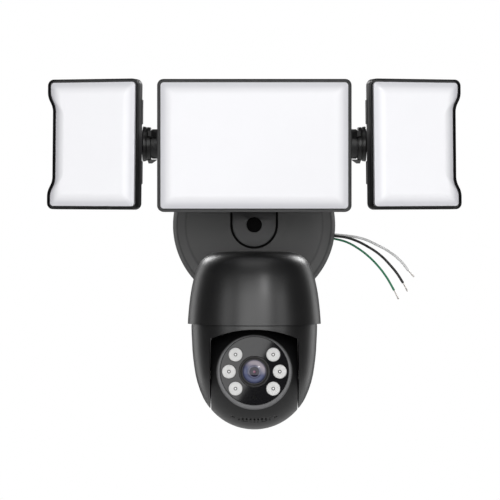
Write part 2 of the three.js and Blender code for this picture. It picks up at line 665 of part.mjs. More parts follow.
function makeHood() {
  const outside = revolve([...hoodProfile, [0, hoodRim]], 'z', panAxis, 28);
  const hollow = inset(hoodProfile, hoodWall).map(([r, z], i) => [i === 0 ? 0 : r, z]);
  hollow[hollow.length - 1] = [52.8 - hoodWall, hoodRim - 1];
  const inside = revolve([...hollow, [0, hoodRim - 1]], 'z', panAxis, 28);
  const neckHole = prism('y', roundedBox(-15 - GAP, 15 + GAP, neckZ - 12 - GAP, neckZ + 12 + GAP, 5),
    cameraY + 30, cameraY + 60);
  add(group, 'camera_hood', outside.subtract(inside).subtract(neckHole), 'black_plastic');

  // A short hollow neck carries the camera on the canopy and leads its cable in.
  const foot = -canopyDepth - GAP;
  const neck = join(
    prism('y', roundedBox(-19, 19, neckZ - 15, neckZ + 15, 6), foot, foot - 3),
    prism('y', roundedBox(-15, 15, neckZ - 12, neckZ + 12, 5), foot - 2, -54),
  ).subtract(prism('y', roundedBox(-9, 9, neckZ - 6, neckZ + 6, 3), foot + 1, -60));
  add(group, 'camera_neck', neck, 'black_metal');

  // The pan plate closes the hood and carries the bearing, the motor and the main board.
  let plate = revolve([
    [hubRadius + GAP, panPlateZ], [48.4, panPlateZ], [48.4, panPlateZ + panPlateThickness],
    [hubRadius + GAP, panPlateZ + panPlateThickness], [hubRadius + GAP, panPlateZ],
  ], 'z', panAxis, 28);
  const postBase = panPlateZ + 1;
  const boardZ = -31;
  const motorEarZ = -50;
  for (const [x, y, top] of [
    [-27, cameraY + 12, boardZ], [27, cameraY + 12, boardZ],
    [-15, motorY, motorEarZ], [15, motorY, motorEarZ],
  ]) {
    plate = plate.add(rod([x, y, postBase], [x, y, top - GAP], 2.2, 8));
  }
  add(group, 'pan_plate', plate, 'nylon');
  add(group, 'pan_bearing', ring(hubRadius + GAP, 16, yokeTop + GAP, panPlateZ - GAP, 'z', panAxis, 28),
    'steel');
  add(group, 'pan_motor', join(
    rod([0, motorY, -48], [0, motorY, -36], 12, 28),
    rod([0, motorY, -49.5], [0, motorY, -47], 4.5, 16),
    block(-18, 18, motorY - 3.2, motorY + 3.2, motorEarZ, motorEarZ + 2.5),
  ), 'steel');
  const boardOutline = roundedBox(-29, 29, cameraY - 22, cameraY + 18, 5);
  add(group, 'main_board', prism('z', boardOutline, boardZ, boardZ + 1.6), 'board');

  // Tooth 0 of the gear points at the motor; the pinion turns a tooth space to meet it.
  const towardMotor = -Math.PI / 2;
  const gearTop = gearBottom + panGearWidth;
  const wheel = gear(gearTeeth, panModule, gearBottom, gearTop, 'z', [0, cameraY], towardMotor)
    .subtract(rod([0, cameraY, -70], [0, cameraY, -40], gearSeatRadius + GAP, 24));
  add(group, 'pan_gear', wheel, 'nylon');
  const pinion = gear(pinionTeeth, panModule, gearBottom, gearTop, 'z', [0, motorY],
    -towardMotor + Math.PI / pinionTeeth);
  const shaft = rod([0, motorY, gearTop - 1], [0, motorY, motorEarZ - GAP], 1.2, 12);
  add(group, 'pan_pinion', pinion.add(shaft), 'nylon');
}

// ---- Yoke with its arm covers and the tilt drive ----

const coverInner = slotHalfWidth + GAP;
const coverOuter = coverInner + 1.8;
const tiltGearFrom = coverOuter + 0.5;
const tiltGearTo = tiltGearFrom + 3;
const tiltCentres = tiltModule * (gearTeeth + pinionTeeth) / 2;
const tiltMotorZ = headZ + tiltCentres;

function makeYoke() {
  const outside = revolve(yokeProfile, 'z', panAxis, 28);
  const hollow = inset(yokeProfile.slice(0, -1), yokeWall);
  hollow[0] = [0, yokeTop - yokeWall];
  hollow[hollow.length - 1] = [31.5, -146.4 + yokeWall];
  const hollowProfile = [...hollow, [0, -146.4 + yokeWall]];
  const inside = revolve(hollowProfile, 'z', panAxis, 28);
  // The opening for the head runs right through, front to back, under a shallow arch.
  const rise = Math.asin(slotHalfWidth / archRadius) * 180 / Math.PI;
  const opening = prism('y', [
    ...arc(0, archTop - archRadius, archRadius, 90 + rise, 90 - rise, 6),
    [slotHalfWidth, -160], [-slotHalfWidth, -160],
  ], cameraY - 60, cameraY + 60);
  const hub = join(
    rod([0, cameraY, yokeTop - 1], [0, cameraY, gearBottom - GAP], hubRadius, 28),
    rod([0, cameraY, yokeTop], [0, cameraY, gearBottom + panGearWidth + 1.5], gearSeatRadius, 24),
  );
  const yoke = outside.subtract(inside)
    .subtract(opening)
    .add(hub)
    .subtract(rod([0, cameraY, -80], [0, cameraY, -30], 4, 20));
  add(group, 'yoke_shell', yoke, 'black_plastic');

  // Flat covers close the two arms towards the head and carry its axles.
  const fitted = hollowProfile.map(([r, z], i) => [
    Math.max(r - GAP, 0), i < 2 ? z - GAP : z + (i > hollowProfile.length - 3 ? GAP : 0)]);
  const cheek = revolve(fitted, 'z', panAxis, 28);
  for (const [name, sign] of [['left', -1], ['right', 1]]) {
    const [x0, x1] = sign > 0 ? [coverInner, coverOuter] : [-coverOuter, -coverInner];
    const cover = block(x0, x1, cameraY - 60, cameraY + 60, -150, -50)
      .intersect(cheek)
      .subtract(rod([x0 - 5, cameraY, headZ], [x1 + 5, cameraY, headZ], axleRadius + GAP, 24));
    add(group, `${name}_arm_cover`, cover, 'black_plastic');
  }

  add(group, 'tilt_motor',
    rod([-tiltGearTo - 0.5, cameraY, tiltMotorZ], [-44, cameraY, tiltMotorZ], 8.4, 28), 'steel');
  const towardMotor = Math.PI / 2;
  const wheel = gear(gearTeeth, tiltModule, -tiltGearTo, -tiltGearFrom, 'x', [cameraY, headZ], towardMotor)
    .subtract(rod([-50, cameraY, headZ], [-30, cameraY, headZ], axleRadius + GAP, 24));
  add(group, 'tilt_gear', wheel, 'nylon');
  const pinion = gear(pinionTeeth, tiltModule, -tiltGearTo, -tiltGearFrom, 'x', [cameraY, tiltMotorZ],
    -towardMotor + Math.PI / pinionTeeth);
  add(group, 'tilt_pinion', pinion, 'nylon');
}

// ---- Tilting head: drawn level in its own frame, then lifted a little about the tilt axis ----

function makeHead() {
  const head = new THREE.Group();
  head.position.set(0, cameraY, headZ);
  head.rotation.x = -headLift;
  group.add(head);

  // The ball is cut off behind the bezel; every depth of the face is counted from there.
  const front = -Math.sqrt(headRadius ** 2 - (bezelRadius + bezelSeat) ** 2);
  const ball = solidOf(new THREE.SphereGeometry(headRadius, 26, 14))
    .intersect(block(-headHalfWidth, headHalfWidth, -60, 60, -60, 60));
  const hollow = solidOf(new THREE.SphereGeometry(headRadius - headWall, 16, 10))
    .intersect(block(headWall - headHalfWidth, headHalfWidth - headWall, -60, 60, -60, 60));
  const axleHole = rod([-60, 0, 0], [60, 0, 0], axleRadius + GAP, 24);
  const shell = ball.subtract(hollow).subtract(axleHole);
  // A row of sound slots across the lower front, with a round hole at each end.
  const slotTilt = THREE.MathUtils.degToRad(56.6);
  const slotWidth = 1.7;
  const towards = [0, -Math.cos(slotTilt), -Math.sin(slotTilt)];
  let frontShell = shell.intersect(block(-60, 60, front, -GAP / 2, -60, 60))
    .subtract(rod([0, -50, 0], [0, -20, 0], windowRadius, 28));
  for (let i = -4; i <= 4; i += 1) {
    const slot = new THREE.BoxGeometry(slotWidth, 30, 4.6);
    slot.translate(i * 3, -45, 0).rotateX(slotTilt);
    frontShell = frontShell.subtract(solidOf(slot));
  }
  for (const x of [-16.5, 16.5]) {
    const [inner, outer] = [30, 60].map((reach) => [x, towards[1] * reach, towards[2] * reach]);
    frontShell = frontShell.subtract(rod(inner, outer, 1.1, 8));
  }
  add(head, 'head_front_shell', frontShell, 'black_plastic');
  const rearShell = shell.intersect(block(-60, 60, GAP / 2, 60, -60, 60))
    .subtract(rod([0, 30, 12], [0, 60, 12], 4, 16));
  add(head, 'head_rear_shell', rearShell, 'black_plastic');

  const bezelFront = front - 2.6;
  const bezelBack = front - GAP;
  const opening = windowRadius + GAP;
  const bezel = revolve([
    [0, bezelBack], [bezelRadius, bezelBack], [bezelRadius, bezelFront + 0.9],
    [bezelRadius - 0.9, bezelFront], [0, bezelFront],
  ], 'y', [0, 0, 0], 32)
    .subtract(rod([0, -50, windowRise], [0, -20, windowRise], opening, 32));
  add(head, 'face_bezel', bezel, 'grey_ring');

  const leds = [-42, 0, 42, 138, 180, 222].map((degrees) => {
    const angle = THREE.MathUtils.degToRad(degrees);
    return [ledRing * Math.cos(angle), lensRise + ledRing * Math.sin(angle)];
  });
  const windowFront = front - 1.9;
  const windowBack = front - 0.1;
  const pinholeZ = lensRise + windowRadius - 5.6;
  let pane = rod([0, windowBack, windowRise], [0, windowFront, windowRise], windowRadius, 32)
    .subtract(rod([0, -50, lensRise], [0, -20, lensRise], barrelRadius + GAP, 24))
    .subtract(rod([0, -50, pinholeZ], [0, -20, pinholeZ], 0.6, 8));
  const boardFront = front + 3.4;
  let ledBoard = rod([0, boardFront, lensRise], [0, boardFront + 1.6, lensRise], windowRadius - 1, 24)
    .subtract(rod([0, -50, lensRise], [0, 0, lensRise], barrelRadius + 0.6, 20))
    .subtract(block(-30, 30, -50, 0, -30, lensRise - windowRadius + 5.6));
  for (const [x, z] of leds) {
    pane = pane.subtract(rod([x, -50, z], [x, -20, z], ledRadius + GAP, 12));
    ledBoard = ledBoard.add(rod([x, boardFront + 0.5, z], [x, windowFront - 0.3, z], ledRadius, 12));
  }
  add(head, 'face_window', pane, 'window');
  add(head, 'ir_led_board', ledBoard, 'led_white');

  const barrel = revolve([
    [0, -14], [barrelRadius, -14], [barrelRadius, bezelFront + 0.6], [barrelRadius - 0.8, bezelFront],
    [lensRadius + GAP, bezelFront], [lensRadius + GAP, boardFront], [0, boardFront],
  ], 'y', [0, 0, lensRise], 24);
  add(head, 'lens_barrel', barrel, 'black_plastic');
  add(head, 'lens_glass', revolve([
    [0, boardFront - GAP], [lensRadius, boardFront - GAP], [lensRadius, front - 0.4],
    [lensRadius - 2.4, front - 1.6], [lensRadius - 5.6, front - 2.4], [0, front - 2.7],
  ], 'y', [0, 0, lensRise], 24), 'lens');

  const [speakerBack, speakerFront] = [headRadius - 12.1, headRadius - 5.1]
    .map((reach) => towards.map((v) => v * reach));
  add(head, 'speaker', rod(speakerBack, speakerFront, 10, 24), 'steel');

  // The axles end in the side walls of the head; the left one also carries the tilt gear.
  for (const [name, sign] of [['left', -1], ['right', 1]]) {
    add(head, `${name}_axle`, join(
      rod([sign * (headHalfWidth - headWall - GAP), 0, 0], [sign * 28, 0, 0], axleRadius + 3, 24),
      rod([sign * 30, 0, 0], [sign * 42.8, 0, 0], axleRadius, 24),
    ), 'steel');
  }
}

makeWallMount();
makeWires();
makeArm();
makeCentreLamp();
makeSideLamp('left', -1);
makeSideLamp('right', 1);
makeHood();
makeYoke();
makeHead();

export default group;
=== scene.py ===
import json
import math

import bmesh
import bpy
from mathutils import Matrix, Vector


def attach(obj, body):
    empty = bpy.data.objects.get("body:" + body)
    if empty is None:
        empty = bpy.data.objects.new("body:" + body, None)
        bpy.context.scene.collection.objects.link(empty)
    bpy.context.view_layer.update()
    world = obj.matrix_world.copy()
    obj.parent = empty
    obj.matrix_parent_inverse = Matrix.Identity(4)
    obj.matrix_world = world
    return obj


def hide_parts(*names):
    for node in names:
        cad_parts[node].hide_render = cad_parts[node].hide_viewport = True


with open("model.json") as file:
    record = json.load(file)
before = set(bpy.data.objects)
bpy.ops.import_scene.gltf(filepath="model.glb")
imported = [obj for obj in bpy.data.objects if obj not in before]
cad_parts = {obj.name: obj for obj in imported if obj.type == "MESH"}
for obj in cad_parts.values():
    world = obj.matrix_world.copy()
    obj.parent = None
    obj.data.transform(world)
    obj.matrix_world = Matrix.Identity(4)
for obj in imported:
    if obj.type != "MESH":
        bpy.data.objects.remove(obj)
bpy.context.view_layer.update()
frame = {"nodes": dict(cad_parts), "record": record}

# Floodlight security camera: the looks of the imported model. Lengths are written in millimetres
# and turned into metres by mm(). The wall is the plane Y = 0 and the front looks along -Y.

MM = 0.001


def mm(*values):
    return tuple(value * MM for value in values)


# ---- Modelling ----

def deselect():
    if bpy.context.mode != "OBJECT":
        bpy.ops.object.mode_set(mode="OBJECT")
    bpy.ops.object.select_all(action="DESELECT")


def take(piece):
    """Makes a piece the only selected and active object."""
    deselect()
    piece.select_set(True)
    bpy.context.view_layer.objects.active = piece
    return piece


def started(name):
    """Names the primitive that was just added and puts its place into its mesh."""
    piece = bpy.context.object
    piece.name = name
    piece.data.name = name
    return settle(piece)


def settle(piece):
    take(piece)
    bpy.ops.object.transform_apply(location=True, rotation=True, scale=True)
    return piece


def choose(piece, kind, test):
    """Opens a piece in edit mode with the vertices, edges or faces selected that pass a test."""
    if bpy.context.mode != "EDIT_MESH":
        take(piece)
        bpy.ops.object.mode_set(mode="EDIT")
    bpy.ops.mesh.select_mode(type=kind)
    bpy.ops.mesh.select_all(action="DESELECT")
    mesh = bmesh.from_edit_mesh(piece.data)
    for element in {"VERT": mesh.verts, "EDGE": mesh.edges, "FACE": mesh.faces}[kind]:
        element.select = bool(test(element))
    mesh.select_flush_mode()
    bmesh.update_edit_mesh(piece.data)


def everything(element):
    return True


def close_edit(piece):
    """Leaves edit mode with doubled vertices merged and the faces pointing outwards."""
    choose(piece, "VERT", everything)
    bpy.ops.mesh.remove_doubles(threshold=0.002 * MM)
    bpy.ops.mesh.delete_loose()
    bpy.ops.mesh.select_all(action="SELECT")
    bpy.ops.mesh.normals_make_consistent(inside=False)
    bpy.ops.object.mode_set(mode="OBJECT")
    return piece


def modify(piece, kind, **settings):
    take(piece)
    modifier = piece.modifiers.new(kind, kind)
    for setting, value in settings.items():
        setattr(modifier, setting, value)
    bpy.ops.object.modifier_apply(modifier=modifier.name)
    return piece


def smooth(piece, angle=32):
    take(piece)
    bpy.ops.object.shade_smooth_by_angle(angle=math.radians(angle))
    return piece


def soften(piece, width, segments=3, angle=30):
    """Rounds the sharp edges and keeps the large faces flat in their shading."""
    modify(piece, "BEVEL", width=width * MM, segments=segments, limit_method="ANGLE",
           angle_limit=math.radians(angle), miter_outer="MITER_ARC")
    smooth(piece, 40)
    return modify(piece, "WEIGHTED_NORMAL", keep_sharp=True, weight=80)


def combine(piece, tool, operation="DIFFERENCE"):
    """Cuts a tool out of a piece, or joins it on, and throws the tool away."""
    modify(piece, "BOOLEAN", object=tool, operation=operation, solver="EXACT")
    bpy.data.objects.remove(tool)
    return piece


def drawn(name, points):
    """A line drawn corner by corner through points in millimetres."""
    deselect()
    bpy.ops.mesh.primitive_plane_add(size=MM, location=mm(*points[0]))
    line = started(name)
    choose(line, "VERT", everything)
    bpy.ops.mesh.merge(type="CENTER")
    for before, after in zip(points, points[1:]):
        step = [b - a for a, b in zip(before, after)]
        bpy.ops.mesh.extrude_region_move(TRANSFORM_OT_translate={"value": mm(*step)})
    return line


def plate(name, outline, y):
    """A flat face with the outline [(x, z), ...] at a depth y."""
    sheet = drawn(name, [(x, y, z) for x, z in outline])
    bpy.ops.mesh.select_all(action="SELECT")
    bpy.ops.mesh.edge_face_add()
    return sheet


def slab(name, outline, y_from, y_to):
    """A plate with its thickness along Y."""
    piece = plate(name, outline, y_from)
    bpy.ops.mesh.extrude_region_move(TRANSFORM_OT_translate={"value": mm(0, y_to - y_from, 0)})
    return close_edit(piece)


AXES = {
    "x": (lambda r, along: (along, 0, r), (1, 0, 0)),
    "y": (lambda r, along: (r, along, 0), (0, 1, 0)),
    "z": (lambda r, along: (r, 0, along), (0, 0, 1)),
}


def turned(name, profile, axis, centre=(0, 0, 0), steps=96):
    """A profile of (radius, place along the axis) spun once round the axis through centre."""
    place, direction = AXES[axis]
    line = drawn(name, [tuple(c + p for c, p in zip(centre, place(r, a))) for r, a in profile])
    bpy.ops.mesh.select_all(action="SELECT")
    bpy.ops.mesh.spin(steps=steps, angle=2 * math.pi, center=mm(*centre), axis=direction)
    return close_edit(line)


def bar(name, start, end, radius, sides=32):
    """A round tool between two points, for holes and pins."""
    start, end = Vector(mm(*start)), Vector(mm(*end))
    deselect()
    bpy.ops.mesh.primitive_cylinder_add(vertices=sides, radius=radius * MM, depth=(end - start).length,
                                        location=(start + end) / 2)
    rod = bpy.context.object
    rod.rotation_euler = (end - start).to_track_quat("Z", "Y").to_euler()
    return started(name)


def brick(name, low, high):
    """A square-edged tool between two corners."""
    deselect()
    bpy.ops.mesh.primitive_cube_add(size=1, location=[(a + b) / 2 * MM for a, b in zip(low, high)])
    bpy.context.object.scale = [(b - a) * MM for a, b in zip(low, high)]
    return started(name)


def copied(name, piece):
    """A copy with its own mesh."""
    twin = piece.copy()
    twin.data = piece.data.copy()
    twin.name = name
    bpy.context.scene.collection.objects.link(twin)
    return twin


def placed(piece, matrix):
    """Moves a piece by a matrix and puts the move into its mesh."""
    piece.matrix_world = matrix
    return settle(piece)


def from_node(name, node, width, segments=2):
    """A node's own shape with merged faces and rounded edges."""
    piece = copied(name, frame["nodes"][node])
    piece.parent = None
    for key in list(piece.keys()):
        del piece[key]
    choose(piece, "VERT", everything)
    bpy.ops.mesh.remove_doubles(threshold=0.002 * MM)
    bpy.ops.mesh.customdata_custom_splitnormals_clear()
    bpy.ops.mesh.dissolve_limited(angle_limit=math.radians(1.5))
    bpy.ops.object.mode_set(mode="OBJECT")
    return soften(piece, width, segments)


def arc(x, z, radius, start, end, steps):
    angles = [math.radians(start + (end - start) * i / steps) for i in range(steps + 1)]
    return [(x + radius * math.cos(a), z + radius * math.sin(a)) for a in angles]


def hand_over(piece, finish, body, *nodes, slot):
    """Gives a finished piece its material and its body, and hides the nodes that it replaces."""
    piece.data.materials.clear()
    piece.data.materials.append(finish)
    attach(piece, body)
    if nodes:
        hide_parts(*nodes)
    return piece


# ---- Materials ----

class Value:
    """A socket of a finish, so that sums on it can be written plainly."""

    def __init__(self, finish, socket):
        self.finish = finish
        self.socket = socket

    def sum(self, operation, *terms):
        inputs = dict(enumerate(terms))
        return self.finish.node("ShaderNodeMath", {"operation": operation}, inputs)

    def __add__(self, other):
        return self.sum("ADD", self, other)

    def __sub__(self, other):
        return self.sum("SUBTRACT", self, other)

    def __rsub__(self, other):
        return self.sum("SUBTRACT", other, self)

    def __mul__(self, other):
        return self.sum("MULTIPLY", self, other)

    def __pow__(self, other):
        return self.sum("POWER", self, other)

    __radd__ = __add__
    __rmul__ = __mul__


class Finish:
    """A material's nodes, added one by one round its surface shader."""

    def __init__(self, name, **constants):
        self.material = bpy.data.materials.new(name)
        self.material.use_nodes = True
        self.tree = self.material.node_tree
        self.shader = self.tree.nodes["Principled BSDF"]
        for socket, value in constants.items():
            self.shader.inputs[socket.replace("_", " ")].default_value = value

    def node(self, kind, settings=None, inputs=None, output=0):
        node = self.tree.nodes.new(kind)
        for setting, value in (settings or {}).items():
            if setting == "stops":
                self.set_stops(node.color_ramp, value)
            else:
                setattr(node, setting, value)
        for socket, value in (inputs or {}).items():
            self.feed(node.inputs[socket], value)
        return Value(self, node.outputs[output])

    def set_stops(self, ramp, stops):
        while len(ramp.elements) < len(stops):
            ramp.elements.new(0.5)
        for element, (position, colour) in zip(ramp.elements, stops):
            element.position = position
            element.color = (*colour, 1)

    def feed(self, socket, value):
        if isinstance(value, Value):
            self.tree.links.new(value.socket, socket)
        else:
            socket.default_value = value

    def give(self, **values):
        for socket, value in values.items():
            self.feed(self.shader.inputs[socket.replace("_", " ")], value)

    def place(self):
        return self.node("ShaderNodeTexCoord", output="Object")

    def grain(self, size, detail=2.0, where=None):
        """Noise whose features are about size millimetres, from 0 to 1."""
        settings = {"noise_dimensions": "3D"}
        inputs = {"Vector": where or self.place(), "Scale": 1 / (size * MM), "Detail": detail}
        return self.node("ShaderNodeTexNoise", settings, inputs)

    def between(self, low, high, value):
        """0 below low, 1 above high, and smooth in between."""
        settings = {"interpolation_type": "SMOOTHSTEP"}
        inputs = {"Value": value, "From Min": low, "From Max": high}
        return self.node("ShaderNodeMapRange", settings, inputs)

    def mix(self, first, second, mask):
        return self.node("ShaderNodeMix", {"data_type": "RGBA"}, {0: mask, 6: first, 7: second}, 2)

    def bump(self, height, depth, strength=1.0):
        """Surface relief: height from 0 to 1 stands for depth millimetres."""
        inputs = {"Height": height, "Distance": depth * MM, "Strength": strength}
        return self.node("ShaderNodeBump", None, inputs)


def grey(value, tint=0.0):
    return (value, value, value * (1 + tint), 1)


def moulded(name, colour, roughness, grain, relief, **constants):
    """Moulded or coated surface: fine grain, uneven gloss, slight change of tone and dust."""
    finish = Finish(name, **constants)
    fine = finish.grain(grain, 3)
    broad = finish.grain(24, 2)
    lighter = tuple(min(1, c * 1.3 + 0.001) for c in colour[:3]) + (1,)
    finish.give(
        Base_Color=finish.mix(colour, lighter, finish.between(0.35, 0.75, broad) * 0.6 + fine * 0.3),
        Roughness=roughness - 0.05 + broad * 0.07 + fine * 0.05,
        Normal=finish.bump(fine, relief),
    )
    return finish.material


def canopy_coat():
    """The canopy's coarser black, with painted light on its chamfer and painted shade on its side."""
    finish = Finish("canopy_black")
    x = finish.node("ShaderNodeSeparateXYZ", None, {"Vector": finish.place()}, 0)
    z = finish.node("ShaderNodeSeparateXYZ", None, {"Vector": finish.place()}, 2)
    radius = (x * x + z * z) ** 0.5
    fine = finish.grain(0.5, 3)
    broad = finish.grain(24, 2)
    # Painted shade on the canopy's side and painted light on its chamfer ring, both picked out by radius.
    side = finish.between(62.2 * MM, 63.4 * MM, radius)
    chamfer = finish.between(55.8 * MM, 57.6 * MM, radius) * (1 - side)
    face = finish.mix(grey(0.05), grey(0.06), broad * 0.7 + fine * 0.3)
    face_with_chamfer_light = finish.mix(face, grey(0.095), chamfer)
    finish.give(
        Base_Color=finish.mix(face_with_chamfer_light, grey(0.035), side),
        Roughness=0.48 + broad * 0.07 + fine * 0.05,
        Normal=finish.bump(fine, 0.03),
    )
    return finish.material


def plated_steel():
    """Zinc plated steel with fine drawn lines and cloudy gloss."""
    finish = Finish("plated_steel", Metallic=1.0)
    stretched = finish.node("ShaderNodeMapping", None,
                            {"Vector": finish.place(), "Scale": (0.12, 1, 1)})
    lines = finish.grain(0.5, 3, stretched)
    cloud = finish.grain(7, 3)
    finish.give(
        Base_Color=finish.mix(grey(0.5), (0.62, 0.61, 0.58, 1), cloud),
        Roughness=0.26 + cloud * 0.14 + lines * 0.08,
        Normal=finish.bump(lines, 0.02, 0.6),
    )
    return finish.material


def soft_rubber():
    finish = Finish("soft_rubber")
    fine = finish.grain(0.5, 4)
    dust = finish.between(0.5, 0.8, finish.grain(6, 4))
    finish.give(
        Base_Color=finish.mix(grey(0.011), grey(0.03), dust),
        Roughness=0.72 + fine * 0.18,
        Normal=finish.bump(fine, 0.05),
    )
    return finish.material


def milky_cover(name, level):
    """Opal cover of a lamp: brighter in the middle, with painted shade making its sloping border greyer.
    """
    finish = Finish(name, Coat_Roughness=0.12, IOR=1.49)
    border = finish.node("ShaderNodeAttribute", {"attribute_name": "border"}, output="Fac")
    cloud = finish.grain(30, 2)
    fine = finish.grain(0.35, 2)
    shaded_border = finish.between(0.0, 0.7, border)
    bright = finish.mix(grey(level, 0.03), grey(level + 0.02, 0.03), cloud)
    # The sloping border is painted greyer: painted shade.
    finish.give(
        Base_Color=finish.mix(bright, grey(level * 0.78, 0.05), shaded_border),
        Roughness=0.34 + cloud * 0.05 + fine * 0.04,
        Coat_Weight=0.25 + shaded_border * 0.15,
        Normal=finish.bump(fine, 0.008),
    )
    return finish.material


def circuit_board():
    """Solder mask over copper tracks, with pads."""
    finish = Finish("circuit_board")
    place = finish.place()
    turned_place = finish.node("ShaderNodeMapping", None,
                               {"Vector": place, "Rotation": (0, 0, math.radians(45))})
    tracks = finish.node("ShaderNodeTexWave", {"wave_profile": "TRI"},
                         {"Vector": turned_place, "Scale": 140.0, "Distortion": 3.0, "Detail": 1.0,
                          "Detail Scale": 0.6}, "Fac")
    track = finish.between(0.62, 0.7, tracks)
    cells = finish.node("ShaderNodeTexVoronoi", {"feature": "F1"},
                        {"Vector": place, "Scale": 260.0}, "Distance")
    pad = 1 - finish.between(0.16, 0.2, cells)
    mask = finish.mix((0.006, 0.07, 0.03, 1), (0.012, 0.13, 0.055, 1), track)
    finish.give(
        Base_Color=finish.mix(mask, (0.62, 0.6, 0.56, 1), pad),
        Metallic=pad * 0.9,
        Roughness=0.4 - pad * 0.1 + finish.grain(2) * 0.08,
        Normal=finish.bump(track * 0.6 + pad, 0.03),
    )
    return finish.material


def natural_nylon():
    finish = Finish("natural_nylon", Subsurface_Weight=0.15)
    fine = finish.grain(0.4, 3)
    cloud = finish.grain(5, 2)
    finish.give(
        Base_Color=finish.mix((0.66, 0.63, 0.55, 1), (0.74, 0.72, 0.66, 1), cloud),
        Roughness=0.42 + fine * 0.12,
        Normal=finish.bump(fine, 0.02),
    )
    return finish.material


def polished_window():
    """Gloss black window, with the faintest ripple and a few specks of dust."""
    finish = Finish("polished_window", IOR=1.44)
    ripple = finish.grain(16, 1)
    dust = finish.between(0.72, 0.78, finish.grain(0.3, 2))
    finish.give(
        Base_Color=finish.mix((0.008, 0.008, 0.009, 1), (0.05, 0.05, 0.05, 1), dust * 0.5),
        Roughness=0.02 + ripple * 0.02 + dust * 0.2,
        Normal=finish.bump(ripple, 0.002),
    )
    return finish.material


def frosted_cap():
    """Frosted lens cap of an infrared emitter."""
    finish = Finish("frosted_cap", IOR=1.49)
    fine = finish.grain(0.2, 2)
    cloud = finish.grain(2.5, 2)
    finish.give(
        Base_Color=finish.mix((0.60, 0.60, 0.595, 1), (0.72, 0.72, 0.71, 1), cloud),
        Roughness=0.3 + fine * 0.15,
        Normal=finish.bump(fine, 0.012),
    )
    return finish.material


def coated_lens(centre):
    """Coated front lens: rings of blue and violet round a dark stop, seen through its gloss, with a
    painted highlight on its upper right.
    """
    finish = Finish("coated_lens", IOR=1.4)
    from_middle = finish.node("ShaderNodeMapping", None, {
        "Vector": finish.place(), "Location": tuple(-c for c in centre)})
    x = finish.node("ShaderNodeSeparateXYZ", None, {"Vector": from_middle}, 0)
    z = finish.node("ShaderNodeSeparateXYZ", None, {"Vector": from_middle}, 2)
    radius = (x * x + z * z) ** 0.5 * (1 / (10 * MM))
    stops = [
        (0.0, (0.40, 0.20, 0.26)), (0.07, (0.22, 0.09, 0.14)), (0.13, (0.012, 0.008, 0.02)),
        (0.34, (0.006, 0.006, 0.016)), (0.39, (0.02, 0.02, 0.05)), (0.43, (0.17, 0.18, 0.26)),
        (0.48, (0.06, 0.065, 0.11)), (0.62, (0.12, 0.14, 0.24)), (0.78, (0.085, 0.1, 0.19)),
        (0.92, (0.03, 0.035, 0.07)), (1.0, (0.008, 0.008, 0.012)),
    ]
    rings = finish.node("ShaderNodeValToRGB", {"stops": stops}, {"Fac": radius})
    haze = finish.grain(4, 2)
    # A pale patch on the upper right of the lens is a painted highlight.
    painted_glint = finish.between(-1 * MM, 7 * MM, z + x * 0.5) * finish.between(0.42, 0.6, radius)
    glass = finish.mix(rings, (0.42, 0.38, 0.42, 1), painted_glint * (1 - finish.between(0.8, 0.95, radius)))
    finish.give(
        Base_Color=finish.mix(glass, (0.03, 0.02, 0.05, 1), haze * 0.25),
        Roughness=0.06 + haze * 0.04,
    )
    return finish.material


def insulation(name, colour, darker):
    """Extruded wire insulation with a drawn sheen and slight handling marks."""
    finish = Finish(name, IOR=1.5)
    cloud = finish.grain(4, 3)
    fine = finish.grain(0.3, 2)
    finish.give(
        Base_Color=finish.mix(colour, darker, finish.between(0.4, 0.8, cloud)),
        Roughness=0.36 + fine * 0.14,
        Normal=finish.bump(fine, 0.015),
    )
    return finish.material


def tinned_copper():
    finish = Finish("tinned_copper", Metallic=1.0)
    cloud = finish.grain(0.8, 3)
    finish.give(
        Base_Color=finish.mix((0.62, 0.6, 0.58, 1), (0.72, 0.6, 0.5, 1), finish.between(0.5, 0.8, cloud)),
        Roughness=0.24 + cloud * 0.16,
    )
    return finish.material


# The tilting head is modelled level, and then lifted a little about its tilt axis.
HEAD = Matrix.Translation(mm(0, -95, -118.3)) @ Matrix.Rotation(math.radians(-4), 4, "X")
LENS_RISE = 0.5
LENS_CENTRE = HEAD @ Vector(mm(0, -34, LENS_RISE))

satin_black = moulded("satin_black", (0.0045, 0.0045, 0.0048, 1), 0.33, 0.35, 0.012, IOR=1.6)
head_black = moulded("head_black", (0.004, 0.004, 0.0043, 1), 0.33, 0.35, 0.012)
canopy_black = canopy_coat()
powder_black = moulded("powder_black", (0.024, 0.024, 0.025, 1), 0.42, 0.55, 0.03)
bezel_grey = moulded("bezel_grey", (0.085, 0.085, 0.088, 1), 0.38, 0.3, 0.01)
# The bolt cap's own black, and painted shade on the ring in the arm's groove.
plug_black_and_groove_shade = moulded("plug_black_and_groove_shade", (0.002, 0.002, 0.002, 1), 0.8, 0.4, 0.02, IOR=1.2)
barrel_black = moulded("barrel_black", (0.009, 0.008, 0.008, 1), 0.3, 0.3, 0.008)
cap_ring = moulded("cap_ring", (0.03, 0.03, 0.03, 1), 0.4, 0.2, 0.01)
sensor_grey = moulded("sensor_grey", (0.006, 0.006, 0.006, 1), 0.6, 0.3, 0.004, IOR=1.15)
cap_dome = moulded("cap_dome", (0.85, 0.85, 0.85, 1), 0.12, 0.3, 0.004)
steel = plated_steel()
rubber = soft_rubber()
# The side covers get a lighter copy of the same cover: painted light.
milk = milky_cover("milky_cover", 0.83)
side_milk_painted_light = milky_cover("side_milky_cover_painted_light", 0.9)
board = circuit_board()
nylon = natural_nylon()
window_gloss = polished_window()
cap_frost = frosted_cap()
lens_coat = coated_lens(LENS_CENTRE)
tinned = tinned_copper()
insulations = {
    "wire_white": insulation("insulation_white", (0.74, 0.74, 0.74, 1), (0.62, 0.62, 0.61, 1)),
    "wire_black": insulation("insulation_black", (0.006, 0.006, 0.006, 1), (0.012, 0.012, 0.012, 1)),
    "wire_green": insulation("insulation_green", (0.006, 0.17, 0.075, 1), (0.01, 0.22, 0.10, 1)),
}

# ---- Camera ----

